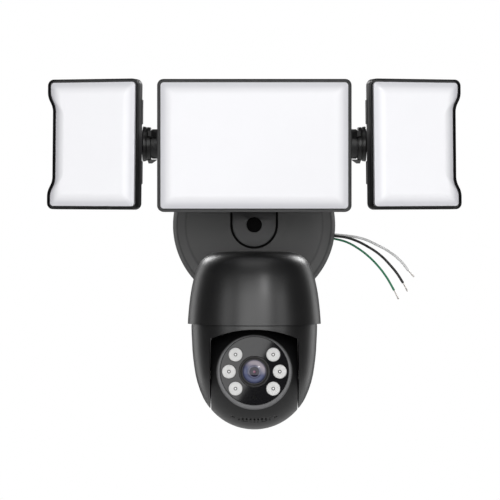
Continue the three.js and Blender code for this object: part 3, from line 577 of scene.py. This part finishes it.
lens = bpy.data.cameras.new("studio_camera")
lens.lens = 175.4
lens.sensor_width = 36
lens.clip_end = 100
camera = bpy.data.objects.new("studio_camera", lens)
camera.location = mm(-3.4, -2028, -20.6)
camera.rotation_euler = (math.radians(90), 0, 0)
bpy.context.scene.collection.objects.link(camera)
bpy.context.scene.camera = camera

# ---- Supply wires ----

WIRES = {
    "white_wire": ("wire_white", 1.05, 161.4, [
        (0, -31, 32.6), (0, -26, 32.6), (2, -20, 31.5), (8, -15, 28), (18, -12, 22), (30, -9.5, 14),
        (42, -7, 5.5), (53, -4.6, -3.2), (62, -3.4, -7.2), (71.1, -3.2, -8.2), (79.4, -3.6, -9.1),
        (90.1, -4.4, -11.2), (102.3, -5.4, -16.5), (113.5, -6.2, -22.9), (122.3, -6.6, -30.4),
        (127.9, -6.8, -37.6)], (132.6, -7, -42.9)),
    "black_wire": ("wire_black", 1.05, 162.8, [
        (-2.3, -31, 28.8), (-2.3, -26, 28.8), (-1, -20, 27.5), (5, -15.5, 24), (15, -13, 17.5),
        (27, -11, 9.5), (39, -9, 2), (50, -7.4, -4.2), (60, -6.2, -7.8), (67, -5.9, -9),
        (75.7, -6.2, -10.1), (83.4, -6.6, -12.4), (94.5, -7.2, -17.9), (104.6, -7.8, -24.8),
        (112.9, -8.1, -33.2), (118.4, -8.2, -39.9), (123.5, -8.2, -47.9)], (127.2, -8.2, -54.9)),
    "green_wire": ("wire_green", 0.9, 159.0, [
        (2.3, -31, 28.8), (2.3, -24.6, 28.5), (3.9, -18.6, 23.8), (8, -12.5, 16.6), (15.5, -8.2, 10),
        (27, -6, 3.5), (39, -5, -2.5), (50, -4.2, -7.2), (60, -3.6, -9.8), (67.3, -3.4, -11.4),
        (76.8, -3.6, -14), (85.7, -4.2, -18.8), (94.5, -5, -25.4), (102.3, -5.6, -33.2),
        (109.6, -6, -42.7), (116.2, -6.2, -54.1)], (119.9, -6.2, -61.5)),
}
STRAND = 0.18


def cord_curve(name, points, radius):
    curve = bpy.data.curves.new(name, "CURVE")
    curve.dimensions = "3D"
    curve.bevel_depth = radius * MM
    curve.bevel_resolution = 4
    curve.resolution_u = 10
    curve.use_fill_caps = True
    spline = curve.splines.new("BEZIER")
    spline.bezier_points.add(len(points) - 1)
    for handle, point in zip(spline.bezier_points, points):
        handle.co = point
        handle.handle_left_type = handle.handle_right_type = "AUTO"
    cord = bpy.data.objects.new(name, curve)
    bpy.context.scene.collection.objects.link(cord)
    return cord


def bare_end(name, end, tip):
    """Seven tinned strands with a slight twist, from inside the insulation to the tip."""
    end, tip = Vector(mm(*end)), Vector(mm(*tip))
    along = (tip - end).normalized()
    side = along.cross(Vector((0, 1, 0))).normalized()
    up = along.cross(side)
    length = (tip - end).length + 1.2 * MM
    strands = []
    for i in range(7):
        reach = 0 if i == 6 else 2.02 * STRAND * MM
        points = []
        for step in range(9):
            share = step / 8
            angle = math.radians(60 * i + 150 * share)
            spread = reach * (1 + 0.35 * share * share)
            across = side * math.cos(angle) + up * math.sin(angle)
            points.append(end - along * 1.2 * MM + along * length * share + across * spread)
        strand = cord_curve(f"{name}_{i}", points, STRAND)
        strand.data.resolution_u = 3
        strand.data.bevel_resolution = 2
        strands.append(strand)
    deselect()
    for strand in strands:
        strand.select_set(True)
    bpy.context.view_layer.objects.active = strands[0]
    bpy.ops.object.convert(target="MESH")
    bpy.ops.object.join()
    bundle = bpy.context.object
    bundle.name = name
    return smooth(bundle, 60)


for name, (slot, radius, length, route, tip) in WIRES.items():
    wire = cord_curve(f"{name}_insulation", [Vector(mm(*point)) for point in route], radius)
    wire.data.materials.append(insulations[slot])
    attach(wire, "base")
    strands = bare_end(f"{name}_strands", route[-1], tip)
    strands.data.materials.append(tinned)
    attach(strands, "base")
    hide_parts(name)
    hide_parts(name)
    mm(*route[0])

# ---- Wall mount ----

TONGUE = 17.6
BACK = -2.8
canopy_outside = [
    (67.3, BACK), (67.3, -8), (66.8, -13), (66.1, -18), (65.1, -24), (64.4, -26.4), (63.4, -28.2),
    (62.2, -29.6), (60, -31.9), (57.6, -34.2), (56.6, -35.1), (55.6, -35.7), (54.4, -36), (0, -36)]
canopy_inside = [
    (0, -33.4), (53.2, -33.4), (54.6, -33), (60.6, -27), (61.8, -25), (62.9, -20), (64.2, -12),
    (64.7, BACK), (67.3, BACK)]


def tongue(radius, top):
    """Outline of the arm's foot: half round below, straight above."""
    return arc(0, 0, radius, 180, 360, 32) + [(radius, top), (-radius, top)]


def make_canopy():
    canopy = turned("canopy_shell", canopy_outside + canopy_inside, "y", steps=128)
    combine(canopy, slab("tool", tongue(22, 48), -30, -35), "UNION")
    combine(canopy, bar("tool", (0, -20, -42), (0, -35, -42), 9), "UNION")
    combine(canopy, slab("tool", tongue(TONGUE + 2, 80), -33, -41))
    combine(canopy, bar("tool", (0, -50, 0), (0, 0, 0), 2.2))
    combine(canopy, bar("tool", (0, -50, 30), (0, 0, 30), 6.3))
    combine(canopy, bar("tool", (0, -50, -42), (0, 0, -42), 5.5))
    combine(canopy, brick("tool", (54, -8.6, -14.2), (75, 1, -5)))
    soften(canopy, 0.35, 3)
    hand_over(canopy, canopy_black, "base", "canopy", slot="black_plastic")

    # A near-black ring set into the groove round the arm's foot is painted shade.
    shade_ring = slab("groove_shade_ring", tongue(TONGUE + 1.9, 50), -33.1, -35.3)
    combine(shade_ring, slab("tool", tongue(TONGUE + 0.2, 90), -30, -40))
    hand_over(smooth(shade_ring), plug_black_and_groove_shade, "base", "canopy", slot="rubber")

    gasket = turned("foam_gasket", [
        (60, -2.5), (66.3, -2.5), (66.7, -2.1), (66.7, -0.4), (66.3, 0), (60.4, 0), (60, -0.4),
        (60, -2.5)], "y")
    combine(gasket, brick("tool", (54, -5, -14.2), (75, 1, -5)))
    hand_over(smooth(gasket), rubber, "base", "wall_gasket", slot="rubber")

    plug = turned("bolt_cap", [
        (0, -35.8), (6.1, -35.8), (6.1, -37.3), (5.8, -37.9), (5.2, -38.25), (4.4, -38.3),
        (4.2, -38.15), (3.9, -38.15), (3.6, -38.4), (2, -38.7), (0, -38.8)], "y", steps=64)
    hand_over(smooth(plug), plug_black_and_groove_shade, "base", "bolt_plug", slot="rubber")

    strap = from_node("strap", "mounting_strap", 0.3)
    hand_over(strap, steel, "base", "mounting_strap", slot="steel")


make_canopy()

# ---- Light arm and cross bar ----

BAR_Y = -84
BAR_Z = 64
BAR_CENTRE = (0, BAR_Y, BAR_Z)


def make_arm():
    for name, node, width in (
            ("arm", "light_arm", 0.9), ("clamp", "bar_clamp", 0.6), ("neck", "camera_neck", 0.8)):
        piece = from_node(name, node, width, 3)
        hand_over(piece, powder_black, "base", node, slot="black_metal")
    bracket = from_node("bracket", "centre_hinge_bracket", 0.4)
    hand_over(bracket, powder_black, "centre_lamp", "centre_hinge_bracket", slot="black_metal")

    half = [(4, 77.5), (9.5, 77.5), (9.5, 86.5), (11.2, 86.5), (11.2, 81.4), (11.8, 81.4),
            (11.8, 76.4), (11.4, 76), (11.8, 75.6), (11.8, 72), (9, 70)]
    profile = half + [(r, -x) for r, x in reversed(half)] + half[:1]
    tube = turned("bar_tube", profile, "x", BAR_CENTRE, 72)
    combine(tube, bar("tool", BAR_CENTRE, (0, -72, 50), 3.5))
    soften(tube, 0.3, 2)
    hand_over(tube, powder_black, "base", "cross_bar", slot="black_metal")


make_arm()

# ---- Lamp heads ----

LAMP_HEIGHT = 103.7
FRONT_Y = -128


class Lamp:
    """Sizes of a lamp in its own frame: its inner edge x0, its outer edge x1, and front depth."""

    def __init__(self, name, x0, x1, z, front, sign, notched, place, height=LAMP_HEIGHT):
        self.name = name
        self.height = height
        self.x0, self.x1 = x0, x1
        self.z = z
        self.front = front
        self.sign = sign
        self.notched = notched
        self.place = place
        self.body = f"{name}_lamp"

    def outline(self, margin):
        low, high = self.z - self.height / 2 + margin, self.z + self.height / 2 - margin
        x0, x1 = self.x0 + margin, self.x1 - margin
        points = [(x0, low), (x1, low)]
        if self.notched:
            lean = margin * 0.25
            points += [(x1, self.z - 37.5 - lean), (x1 - 4.5, self.z - 29 - lean),
                       (x1 - 4.5, self.z + 29 + lean), (x1, self.z + 37.5 + lean)]
        points += [(x1, high), (x0, high)]
        return [(self.sign * x, z) for x, z in points]

    def plate(self, name, margin, depth, corner):
        """The lamp's outline as a face, with its corners rounded."""
        face = plate(name, self.outline(margin), self.front + depth)
        ends = {(round(self.sign * x, 2), round(z, 2)) for x in (self.x0 + margin, self.x1 - margin)
                for z in (self.z - self.height / 2 + margin, self.z + self.height / 2 - margin)}

        def at_corner(vertex):
            return (round(vertex.co.x / MM, 2), round(vertex.co.z / MM, 2)) in ends

        old = {vertex.co.to_tuple(6) for vertex in bmesh.from_edit_mesh(face.data).verts
               if not at_corner(vertex)}
        choose(face, "VERT", at_corner)
        bpy.ops.mesh.bevel(offset=corner * MM, segments=8, affect="VERTICES", offset_type="OFFSET")
        if old:
            choose(face, "VERT", lambda vertex: vertex.co.to_tuple(6) in old)
            bpy.ops.mesh.bevel(offset=3.2 * MM, segments=6, affect="VERTICES", offset_type="OFFSET")
        return face

    def face_at(self, depth, facing):
        """Test for the flat face at a depth that looks to the front (-1) or the back (1)."""
        y = (self.front + depth) * MM

        def test(face):
            return abs(face.calc_center_median().y - y) < 0.002 * MM and face.normal.y * facing > 0.7
        return test

    def extrude(self, piece, depth_from, facing, distance, narrower=0.0):
        """Pulls the flat face at a depth along Y, and draws it in by a margin towards its middle."""
        choose(piece, "FACE", self.face_at(depth_from, facing))
        spots = [vertex.co for vertex in bmesh.from_edit_mesh(piece.data).verts if vertex.select]
        bpy.ops.mesh.extrude_region_move(TRANSFORM_OT_translate={"value": mm(0, distance, 0)})
        if narrower:
            half_x = (max(co.x for co in spots) - min(co.x for co in spots)) / 2 / MM
            half_z = (max(co.z for co in spots) - min(co.z for co in spots)) / 2 / MM
            middle = mm(self.sign * (self.x0 + self.x1) / 2, 0, self.z)
            bpy.ops.transform.resize(value=(1 - narrower / half_x, 1, 1 - narrower / half_z),
                                     center_override=middle)

    def inset(self, piece, depth_at, facing, width, rise=0.0):
        choose(piece, "FACE", self.face_at(depth_at, facing))
        bpy.ops.mesh.inset(thickness=width * MM, depth=rise * MM, use_even_offset=True)


def outwards(piece):
    """Turns the faces of an open piece outwards without leaving edit mode."""
    choose(piece, "FACE", everything)
    bpy.ops.mesh.normals_make_consistent(inside=False)


def make_housing(lamp, fins, tabs, hole):
    piece = lamp.plate(f"{lamp.name}_housing", 0, 10.5, 5)
    bpy.ops.mesh.select_all(action="SELECT")
    bpy.ops.mesh.extrude_region_move(TRANSFORM_OT_translate={"value": mm(0, -10.5, 0)})
    outwards(piece)
    lamp.extrude(piece, 10.5, 1, 0.4, 4.6)
    lamp.extrude(piece, 10.9, 1, 11.1, 2.4)
    lamp.inset(piece, 0, -1, 2.3)
    lamp.extrude(piece, 0, -1, 5)
    lamp.extrude(piece, 5, -1, 0.1, 6.6)
    lamp.extrude(piece, 5.1, -1, 14.9)
    close_edit(piece)
    side = lamp.sign
    for x in fins:
        low = (min(side * (x - 1), side * (x + 1)), lamp.front + 21, lamp.z - 38)
        high = (max(side * (x - 1), side * (x + 1)), lamp.front + 24.4, lamp.z + 38)
        combine(piece, brick("tool", low, high), "UNION")
    for z0, z1 in tabs:
        ends = sorted((side * lamp.x0, side * (lamp.x0 + 5)))
        combine(piece, brick("tool", (ends[0], lamp.front + 8.5, lamp.z + z0),
                             (ends[1], lamp.front + 12.5, lamp.z + z1)), "UNION")
    combine(piece, bar("tool", *hole, 3))
    soften(piece, 0.5, 3)
    placed(piece, lamp.place)
    hand_over(piece, powder_black, lamp.body, f"{lamp.name}_lamp_housing", slot="black_metal")


def make_cover(lamp):
    piece = lamp.plate(f"{lamp.name}_cover", 2.6, 3.2, 2.6)
    bpy.ops.mesh.select_all(action="SELECT")
    bpy.ops.mesh.extrude_region_move(TRANSFORM_OT_translate={"value": mm(0, -2.5, 0)})
    outwards(piece)
    depth = 0.7
    for width, rise in ((0.25, 0.2), (2.2, 1.15), (2.4, 0.95), (2.2, 0.62), (1.6, 0.3), (1.6, 0.08)):
        lamp.extrude(piece, depth, -1, -rise, width)
        depth -= rise
    close_edit(piece)
    # The border value, from the cover's front to its back, carries the painted shade on the sloping
    # border.
    border = piece.data.attributes.new("border", "FLOAT", "POINT")
    top = min(vertex.co.y for vertex in piece.data.vertices)
    for vertex in piece.data.vertices:
        border.data[vertex.index].value = min(1, (vertex.co.y - top) / (3.3 * MM))
    smooth(piece, 30)
    modify(piece, "WEIGHTED_NORMAL", keep_sharp=True, weight=60)
    placed(piece, lamp.place)
    cover = side_milk_painted_light if lamp.notched else milk
    hand_over(piece, cover, lamp.body, f"{lamp.name}_diffuser", slot="milk_white")


centre = Lamp("centre", -75.85, 75.85, 61, FRONT_Y, 1, False, Matrix.Identity(4))
make_housing(centre, [-68, -60, -52, -44, 44, 52, 60, 68], [], [(0, -112, 40), (0, -100, 40)])
make_cover(centre)

SOCKET_X = 84.5
TURN = math.radians(20)
LEAN = math.radians(0.6)  # each side lamp's outer end sits a touch high on its ball
SIDE_WIDTH = 76.9
SIDE_HEIGHT = 102.4
edge = (91.5 - SOCKET_X, FRONT_Y - BAR_Y)
side_x0 = edge[0] * math.cos(TURN) + edge[1] * math.sin(TURN)
side_front = edge[1] * math.cos(TURN) - edge[0] * math.sin(TURN)

for name, sign in (("left", -1), ("right", 1)):
    place = Matrix.Translation(mm(sign * SOCKET_X, BAR_Y, BAR_Z)) @ Matrix.Rotation(sign * TURN, 4, "Z")
    place = place @ Matrix.Rotation(-sign * LEAN, 4, "Y")
    lamp = Lamp(name, side_x0, side_x0 + SIDE_WIDTH, -1.8, side_front, sign, True, place, SIDE_HEIGHT)
    back = side_front + 22
    make_housing(lamp, [46, 51.5], [(16, 35), (-31, -13)],
                 [(sign * 30, back - 6, 0), (sign * 30, back + 5, 0)])
    make_cover(lamp)
    socket = from_node(f"{name}_socket", f"{name}_socket_block", 0.8, 3)
    hand_over(socket, powder_black, f"{name}_lamp", f"{name}_socket_block", slot="black_metal")

# ---- Lock nuts ----


def make_nut(name, sign):
    centre = (sign * SOCKET_X, BAR_Y, BAR_Z)
    profile = [
        (11.5, -2.2), (12.9, -2.2), (13.2, -1.9), (13.5, 0.6), (13.1, 0.9), (13.1, 1.3), (13.6, 1.6),
        (14, 3.7), (13.8, 4.2), (13.3, 4.7), (8.4, 4.7), (8.4, 3.1), (11.5, 3.1), (11.5, -2.2)]
    nut = turned(f"{name}_nut", [(r, sign * x) for r, x in profile], "x", centre, 72)
    outline = [(-6.8, -12.4), (0.6, -12.4), (0.6, -13.2), (-0.2, -15.5), (-2.9, -15.5), (-6.6, -12.9)]
    for turn in (0, 120, 240):
        ear = slab("tool", [(sign * x, z) for x, z in outline], -2.5, 2.5)
        placed(ear, Matrix.Translation(mm(*centre)) @ Matrix.Rotation(math.radians(turn), 4, "X"))
        combine(nut, ear, "UNION")
    soften(nut, 0.25, 2)
    hand_over(nut, satin_black, f"{name}_lock_nut", f"{name}_lock_nut", slot="black_plastic")


make_nut("left", -1)
make_nut("right", 1)

# ---- Camera hood and yoke ----

PAN = (0, -95, 0)
hood_profile = [
    (0, -21.6), (14, -21.7), (22, -21.85), (27, -22.1), (31, -22.7), (34.6, -23.8), (37.7, -25.3),
    (40.4, -27.4), (42.7, -30), (44.5, -33), (46.1, -36.6), (47.4, -40.6), (48.5, -45), (49.5, -49.6),
    (50.3, -54), (51, -58.7), (51.6, -64), (52.1, -69), (52.5, -74), (52.8, -78.9)]
yoke_profile = [
    (0, -67.5), (44.5, -67.5), (47.2, -68.6), (48.6, -71), (49.9, -80.9), (49.75, -87), (49.4, -93.6),
    (49.1, -99.9), (48.5, -106.3), (47.7, -112.6), (46.7, -119), (45.2, -125.3), (43.1, -131.7),
    (40.4, -138), (38.6, -141.2), (36.6, -144.1), (35.4, -145.6), (34.3, -146.3), (0, -146.4)]


def make_hood():
    hood = turned("dome_hood", hood_profile, "z", PAN, 128)
    modify(hood, "SOLIDIFY", thickness=2 * MM, offset=-1, use_even_offset=True)
    combine(hood, brick("tool", (-15.3, -65, -54.3), (15.3, -35, -29.7)))
    soften(hood, 0.3, 3, 40)
    hand_over(hood, satin_black, "base", "camera_hood", slot="black_plastic")


def make_yoke():
    yoke = turned("yoke_cup", yoke_profile, "z", PAN, 128)
    inside = [(r - 2.2 if r > 36 else min(r, 31.5), z) for r, z in yoke_profile[1:-1]]
    inside = [(0, -69.7), (43.6, -69.7), (45.6, -71.5)] + inside[3:-2] + [(31.5, -144.2), (0, -144.2)]
    combine(yoke, turned("tool", inside, "z", PAN, 128))
    rise = math.degrees(math.asin(34.8 / 79.7))
    opening = arc(0, -82.2 - 79.7, 79.7, 90 + rise, 90 - rise, 24) + [(34.8, -160), (-34.8, -160)]
    combine(yoke, slab("tool", opening, -155, -35))
    combine(yoke, bar("tool", (0, -95, -80), (0, -95, -60), 4))
    soften(yoke, 0.45, 3, 40)
    hand_over(yoke, satin_black, "pan_yoke", "yoke_shell", slot="black_plastic")
    for side in ("left", "right"):
        cover = from_node(f"{side}_cheek", f"{side}_arm_cover", 0.25)
        hand_over(cover, satin_black, "pan_yoke", f"{side}_arm_cover", slot="black_plastic")


make_hood()
make_yoke()

# ---- Tilting head ----

HEAD_RADIUS = 44.6
HALF_WIDTH = 34.1
WINDOW_RISE = 1.1
CAP_RING_RADIUS = 19.8
SPEAKER_TILT = math.radians(56.6)


def head_piece(piece, finish, *nodes, slot):
    placed(piece, HEAD)
    return hand_over(piece, finish, "tilt_head", *nodes, slot=slot)


def sliced(piece, point, normal):
    """Cuts away the side that the normal looks to and closes the cut."""
    choose(piece, "VERT", everything)
    bpy.ops.mesh.bisect(plane_co=mm(*point), plane_no=normal, use_fill=True, clear_outer=True)


def make_ball(name, cuts):
    deselect()
    bpy.ops.mesh.primitive_uv_sphere_add(segments=128, ring_count=64, radius=HEAD_RADIUS * MM,
                                         rotation=(0, math.radians(90), 0))
    ball = started(name)
    for point, normal in [((HALF_WIDTH, 0, 0), (1, 0, 0)), ((-HALF_WIDTH, 0, 0), (-1, 0, 0))] + cuts:
        sliced(ball, point, normal)
    return close_edit(ball)


def make_head():
    front = make_ball("head_front", [((0, -33.4, 0), (0, -1, 0)), ((0, -0.15, 0), (0, 1, 0))])
    towards = (-math.cos(SPEAKER_TILT), -math.sin(SPEAKER_TILT))
    soften(front, 0.9, 4, 40)
    for i in range(-4, 5):
        slot = brick("tool", (i * 3 - 0.7, -50, -2.2), (i * 3 + 0.7, -42.5, 2.2))
        placed(slot, Matrix.Rotation(SPEAKER_TILT, 4, "X"))
        combine(front, slot)
    for x in (-16.5, 16.5):
        ends = [(x, towards[0] * reach, towards[1] * reach) for reach in (37.5, 60)]
        combine(front, bar("tool", *ends, 1.15))
    smooth(front, 40)
    head_piece(front, head_black, "head_front_shell", slot="black_plastic")

    rear = make_ball("head_rear", [((0, 0.15, 0), (0, -1, 0))])
    combine(rear, bar("tool", (0, 36, 12), (0, 60, 12), 4))
    soften(rear, 0.9, 4, 40)
    head_piece(rear, head_black, "head_rear_shell", slot="black_plastic")

    bezel = turned("bezel_ring", [
        (0, -33.7), (29.2, -33.7), (29.2, -35.2), (28.9, -35.75), (28.3, -36), (0, -36)], "y", steps=128)
    combine(bezel, bar("tool", (0, -50, WINDOW_RISE), (0, -20, WINDOW_RISE), 26.9, 128))
    soften(bezel, 0.3, 3, 50)
    head_piece(bezel, bezel_grey, "face_bezel", slot="grey_ring")


def make_face():
    spots = [(CAP_RING_RADIUS * math.cos(math.radians(a)),
              LENS_RISE + CAP_RING_RADIUS * math.sin(math.radians(a)))
             for a in (-42, 0, 42, 138, 180, 222)]
    pane = turned("window_pane", [(0, -33.5), (26.6, -33.5), (26.6, -35.1), (26.4, -35.3), (0, -35.3)],
                  "y", (0, 0, WINDOW_RISE), 128)
    combine(pane, bar("tool", (0, -50, LENS_RISE), (0, -20, LENS_RISE), 12.3, 96))
    combine(pane, bar("tool", (0, -50, LENS_RISE + 21), (0, -34.6, LENS_RISE + 21), 0.6, 24))
    for x, z in spots:
        combine(pane, bar("tool", (x, -50, z), (x, -20, z), 5.7, 64))
    smooth(pane, 30)
    head_piece(pane, window_gloss, "face_window", slot="window")

    sensor = brick("light_sensor", (-1.1, -35.45, -20.6), (1.1, -34.9, -18.4))
    soften(sensor, 0.2, 2)
    head_piece(sensor, sensor_grey, "face_window", slot="window")

    cap_profile = [
        (0, -31), (5.4, -31), (5.4, -34.7), (5.25, -35.1), (4.9, -35.3), (4.5, -35.38), (4.4, -35.3),
        (4.3, -35.4), (3.6, -35.5), (3.5, -35.42), (3.4, -35.52), (2.7, -35.58), (2.6, -35.5),
        (2.5, -35.6), (1.5, -35.62), (1.4, -35.3), (0.8, -35.3), (0.75, -35.62), (0.5, -35.8),
        (0.25, -35.88), (0, -35.9)]
    first = smooth(turned("ir_cap_1", cap_profile, "y", (0, 0, 0), 64), 50)
    board_disc = turned("emitter_board", [
        (12.6, -30), (25.6, -30), (25.6, -28.4), (12.6, -28.4), (12.6, -30)],
        "y", (0, 0, LENS_RISE), 64)
    head_piece(board_disc, board, "ir_led_board", slot="led_white")
    for number, (x, z) in enumerate(spots, 1):
        cap = first if number == 6 else copied(f"ir_cap_{number}", first)
        if number == 6:
            cap.name = "ir_cap_6"
        cap.data.materials.clear()
        for material in (cap_frost, cap_ring, cap_dome):
            cap.data.materials.append(material)
        for face in cap.data.polygons:
            reach = math.hypot(face.center.x, face.center.z) / MM
            face.material_index = 0 if reach > 1.42 else 1 if reach > 0.77 else 2
        placed(cap, HEAD @ Matrix.Translation(mm(x, 0, z)))
        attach(cap, "tilt_head")
        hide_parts("ir_led_board")

    barrel = turned("barrel", [
        (0, -14), (12, -14), (12, -35.5), (11.7, -35.9), (11.2, -36), (10.9, -35.8), (10.7, -35.6),
        (10.5, -35.75), (10.3, -35.6), (10.1, -35.4), (9.9, -35), (9.9, -30), (0, -30)],
        "y", (0, 0, LENS_RISE), 96)
    head_piece(smooth(barrel, 50), barrel_black, "lens_barrel", slot="black_plastic")
    dome = [(9.6 * math.sin(a), -32.6 - 3.5 * math.cos(a)) for a in
            [math.radians(90 * i / 12) for i in range(12, -1, -1)]]
    glass = turned("front_lens", [(0, -30.3), (9.6, -30.3)] + dome, "y", (0, 0, LENS_RISE), 96)
    head_piece(smooth(glass, 50), lens_coat, "lens_glass", slot="lens")


make_head()
make_face()

# ---- Nodes that keep their own shape ----

KEPT = {
    "steel": steel,
    "rubber": rubber,
    "black_plastic": satin_black,
    "black_metal": powder_black,
    "board": board,
    "nylon": nylon,
}
slots = {part["node"]: part["material_slot"] for part in frame["record"]["subparts"]}
for node, piece in frame["nodes"].items():
    if slots[node] in KEPT:
        piece.data.materials.clear()
        piece.data.materials.append(KEPT[slots[node]])

# ---- Floor, light and background ----


def make_floor():
    deselect()
    bpy.ops.mesh.primitive_circle_add(vertices=128, radius=1.1, fill_type="NGON", location=(0, 0, -0.46))
    floor = started("pale_floor")
    paint = Finish("pale_floor")
    cloud = paint.grain(60, 3)
    paint.give(Base_Color=paint.mix(grey(0.78), grey(0.84), cloud), Roughness=0.6 + cloud * 0.1)
    floor.data.materials.append(paint.material)


def soft_box(name, place, aim, width, height, power):
    light = bpy.data.lights.new(name, "AREA")
    light.shape = "RECTANGLE"
    light.size, light.size_y = width, height
    light.energy = power
    box = bpy.data.objects.new(name, light)
    look = (Vector(aim) - Vector(place)).to_track_quat("-Z", "Y").to_matrix().to_4x4()
    box.matrix_world = Matrix.Translation(place) @ look
    box.visible_camera = False
    bpy.context.scene.collection.objects.link(box)


ROOM_LIGHT = 0.24
ROOM_GLOSS = 0.1
PAPER_LIGHT = 1.0
FRONT_POWER = 38
TOP_POWER = 5
SPARK_POWER = 5.0
SIDE_POWER = 7.0
SHOULDER_POWER = 6.0
EDGE_POWER = 3.6


def make_light():
    world = bpy.data.worlds.new("studio")
    bpy.context.scene.world = world
    world.use_nodes = True
    tree = world.node_tree
    tree.nodes.clear()
    output = tree.nodes.new("ShaderNodeOutputWorld")
    path = tree.nodes.new("ShaderNodeLightPath")

    def backdrop(strength):
        node = tree.nodes.new("ShaderNodeBackground")
        node.inputs["Color"].default_value = (1, 1, 1, 1)
        node.inputs["Strength"].default_value = strength
        return node.outputs[0]

    def choice(ray, otherwise, chosen):
        mix = tree.nodes.new("ShaderNodeMixShader")
        for socket, source in zip(mix.inputs, (path.outputs[ray], otherwise, chosen)):
            tree.links.new(source, socket)
        return mix.outputs[0]

    # White paper behind the object, a softly lit room round it, and a dark room in its gloss.
    room = choice("Is Glossy Ray", backdrop(ROOM_LIGHT), backdrop(ROOM_GLOSS))
    tree.links.new(choice("Is Camera Ray", room, backdrop(PAPER_LIGHT)), output.inputs["Surface"])

    soft_box("front_box", (0.0, -2.6, 0.3), (0, 0, 0), 2.7, 1.5, FRONT_POWER)
    soft_box("top_box", (0.0, -0.9, 1.8), (0, 0, 0), 1.6, 1.2, TOP_POWER)
    soft_box("spark_box", (0.75, -2.2, 0.9), (0, -0.13, -0.118), 0.22, 0.22, SPARK_POWER)
    for side in (-1, 1):
        soft_box("side_box", (side * 1.95, -1.85, 0.25), (0, -0.1, 0), 0.9, 1.3, SIDE_POWER)
        soft_box("shoulder_box", (side * 0.85, 1.3, 0.85), (0, -0.1, -0.04), 0.5, 0.5, SHOULDER_POWER)
        soft_box("edge_box", (side * 1.15, 1.1, -0.1), (0, -0.1, -0.06), 0.6, 1.4, EDGE_POWER)

    # A dark card keeps half of the front box out of the window, with a slanting edge.
    deselect()
    bpy.ops.mesh.primitive_plane_add(size=1, location=(0.1, -2.4, 0.035),
                                     rotation=(math.radians(90), math.radians(29.6), 0))
    bpy.context.object.scale = (0.22, 0.36, 1)
    card = started("dark_card")
    felt = Finish("dark_felt", Roughness=0.9)
    felt.give(Base_Color=felt.mix(grey(0.01), grey(0.02), felt.grain(8)))
    card.data.materials.append(felt.material)
    card.visible_camera = False


make_floor()
make_light()
bpy.context.scene.view_settings.view_transform = "Standard"
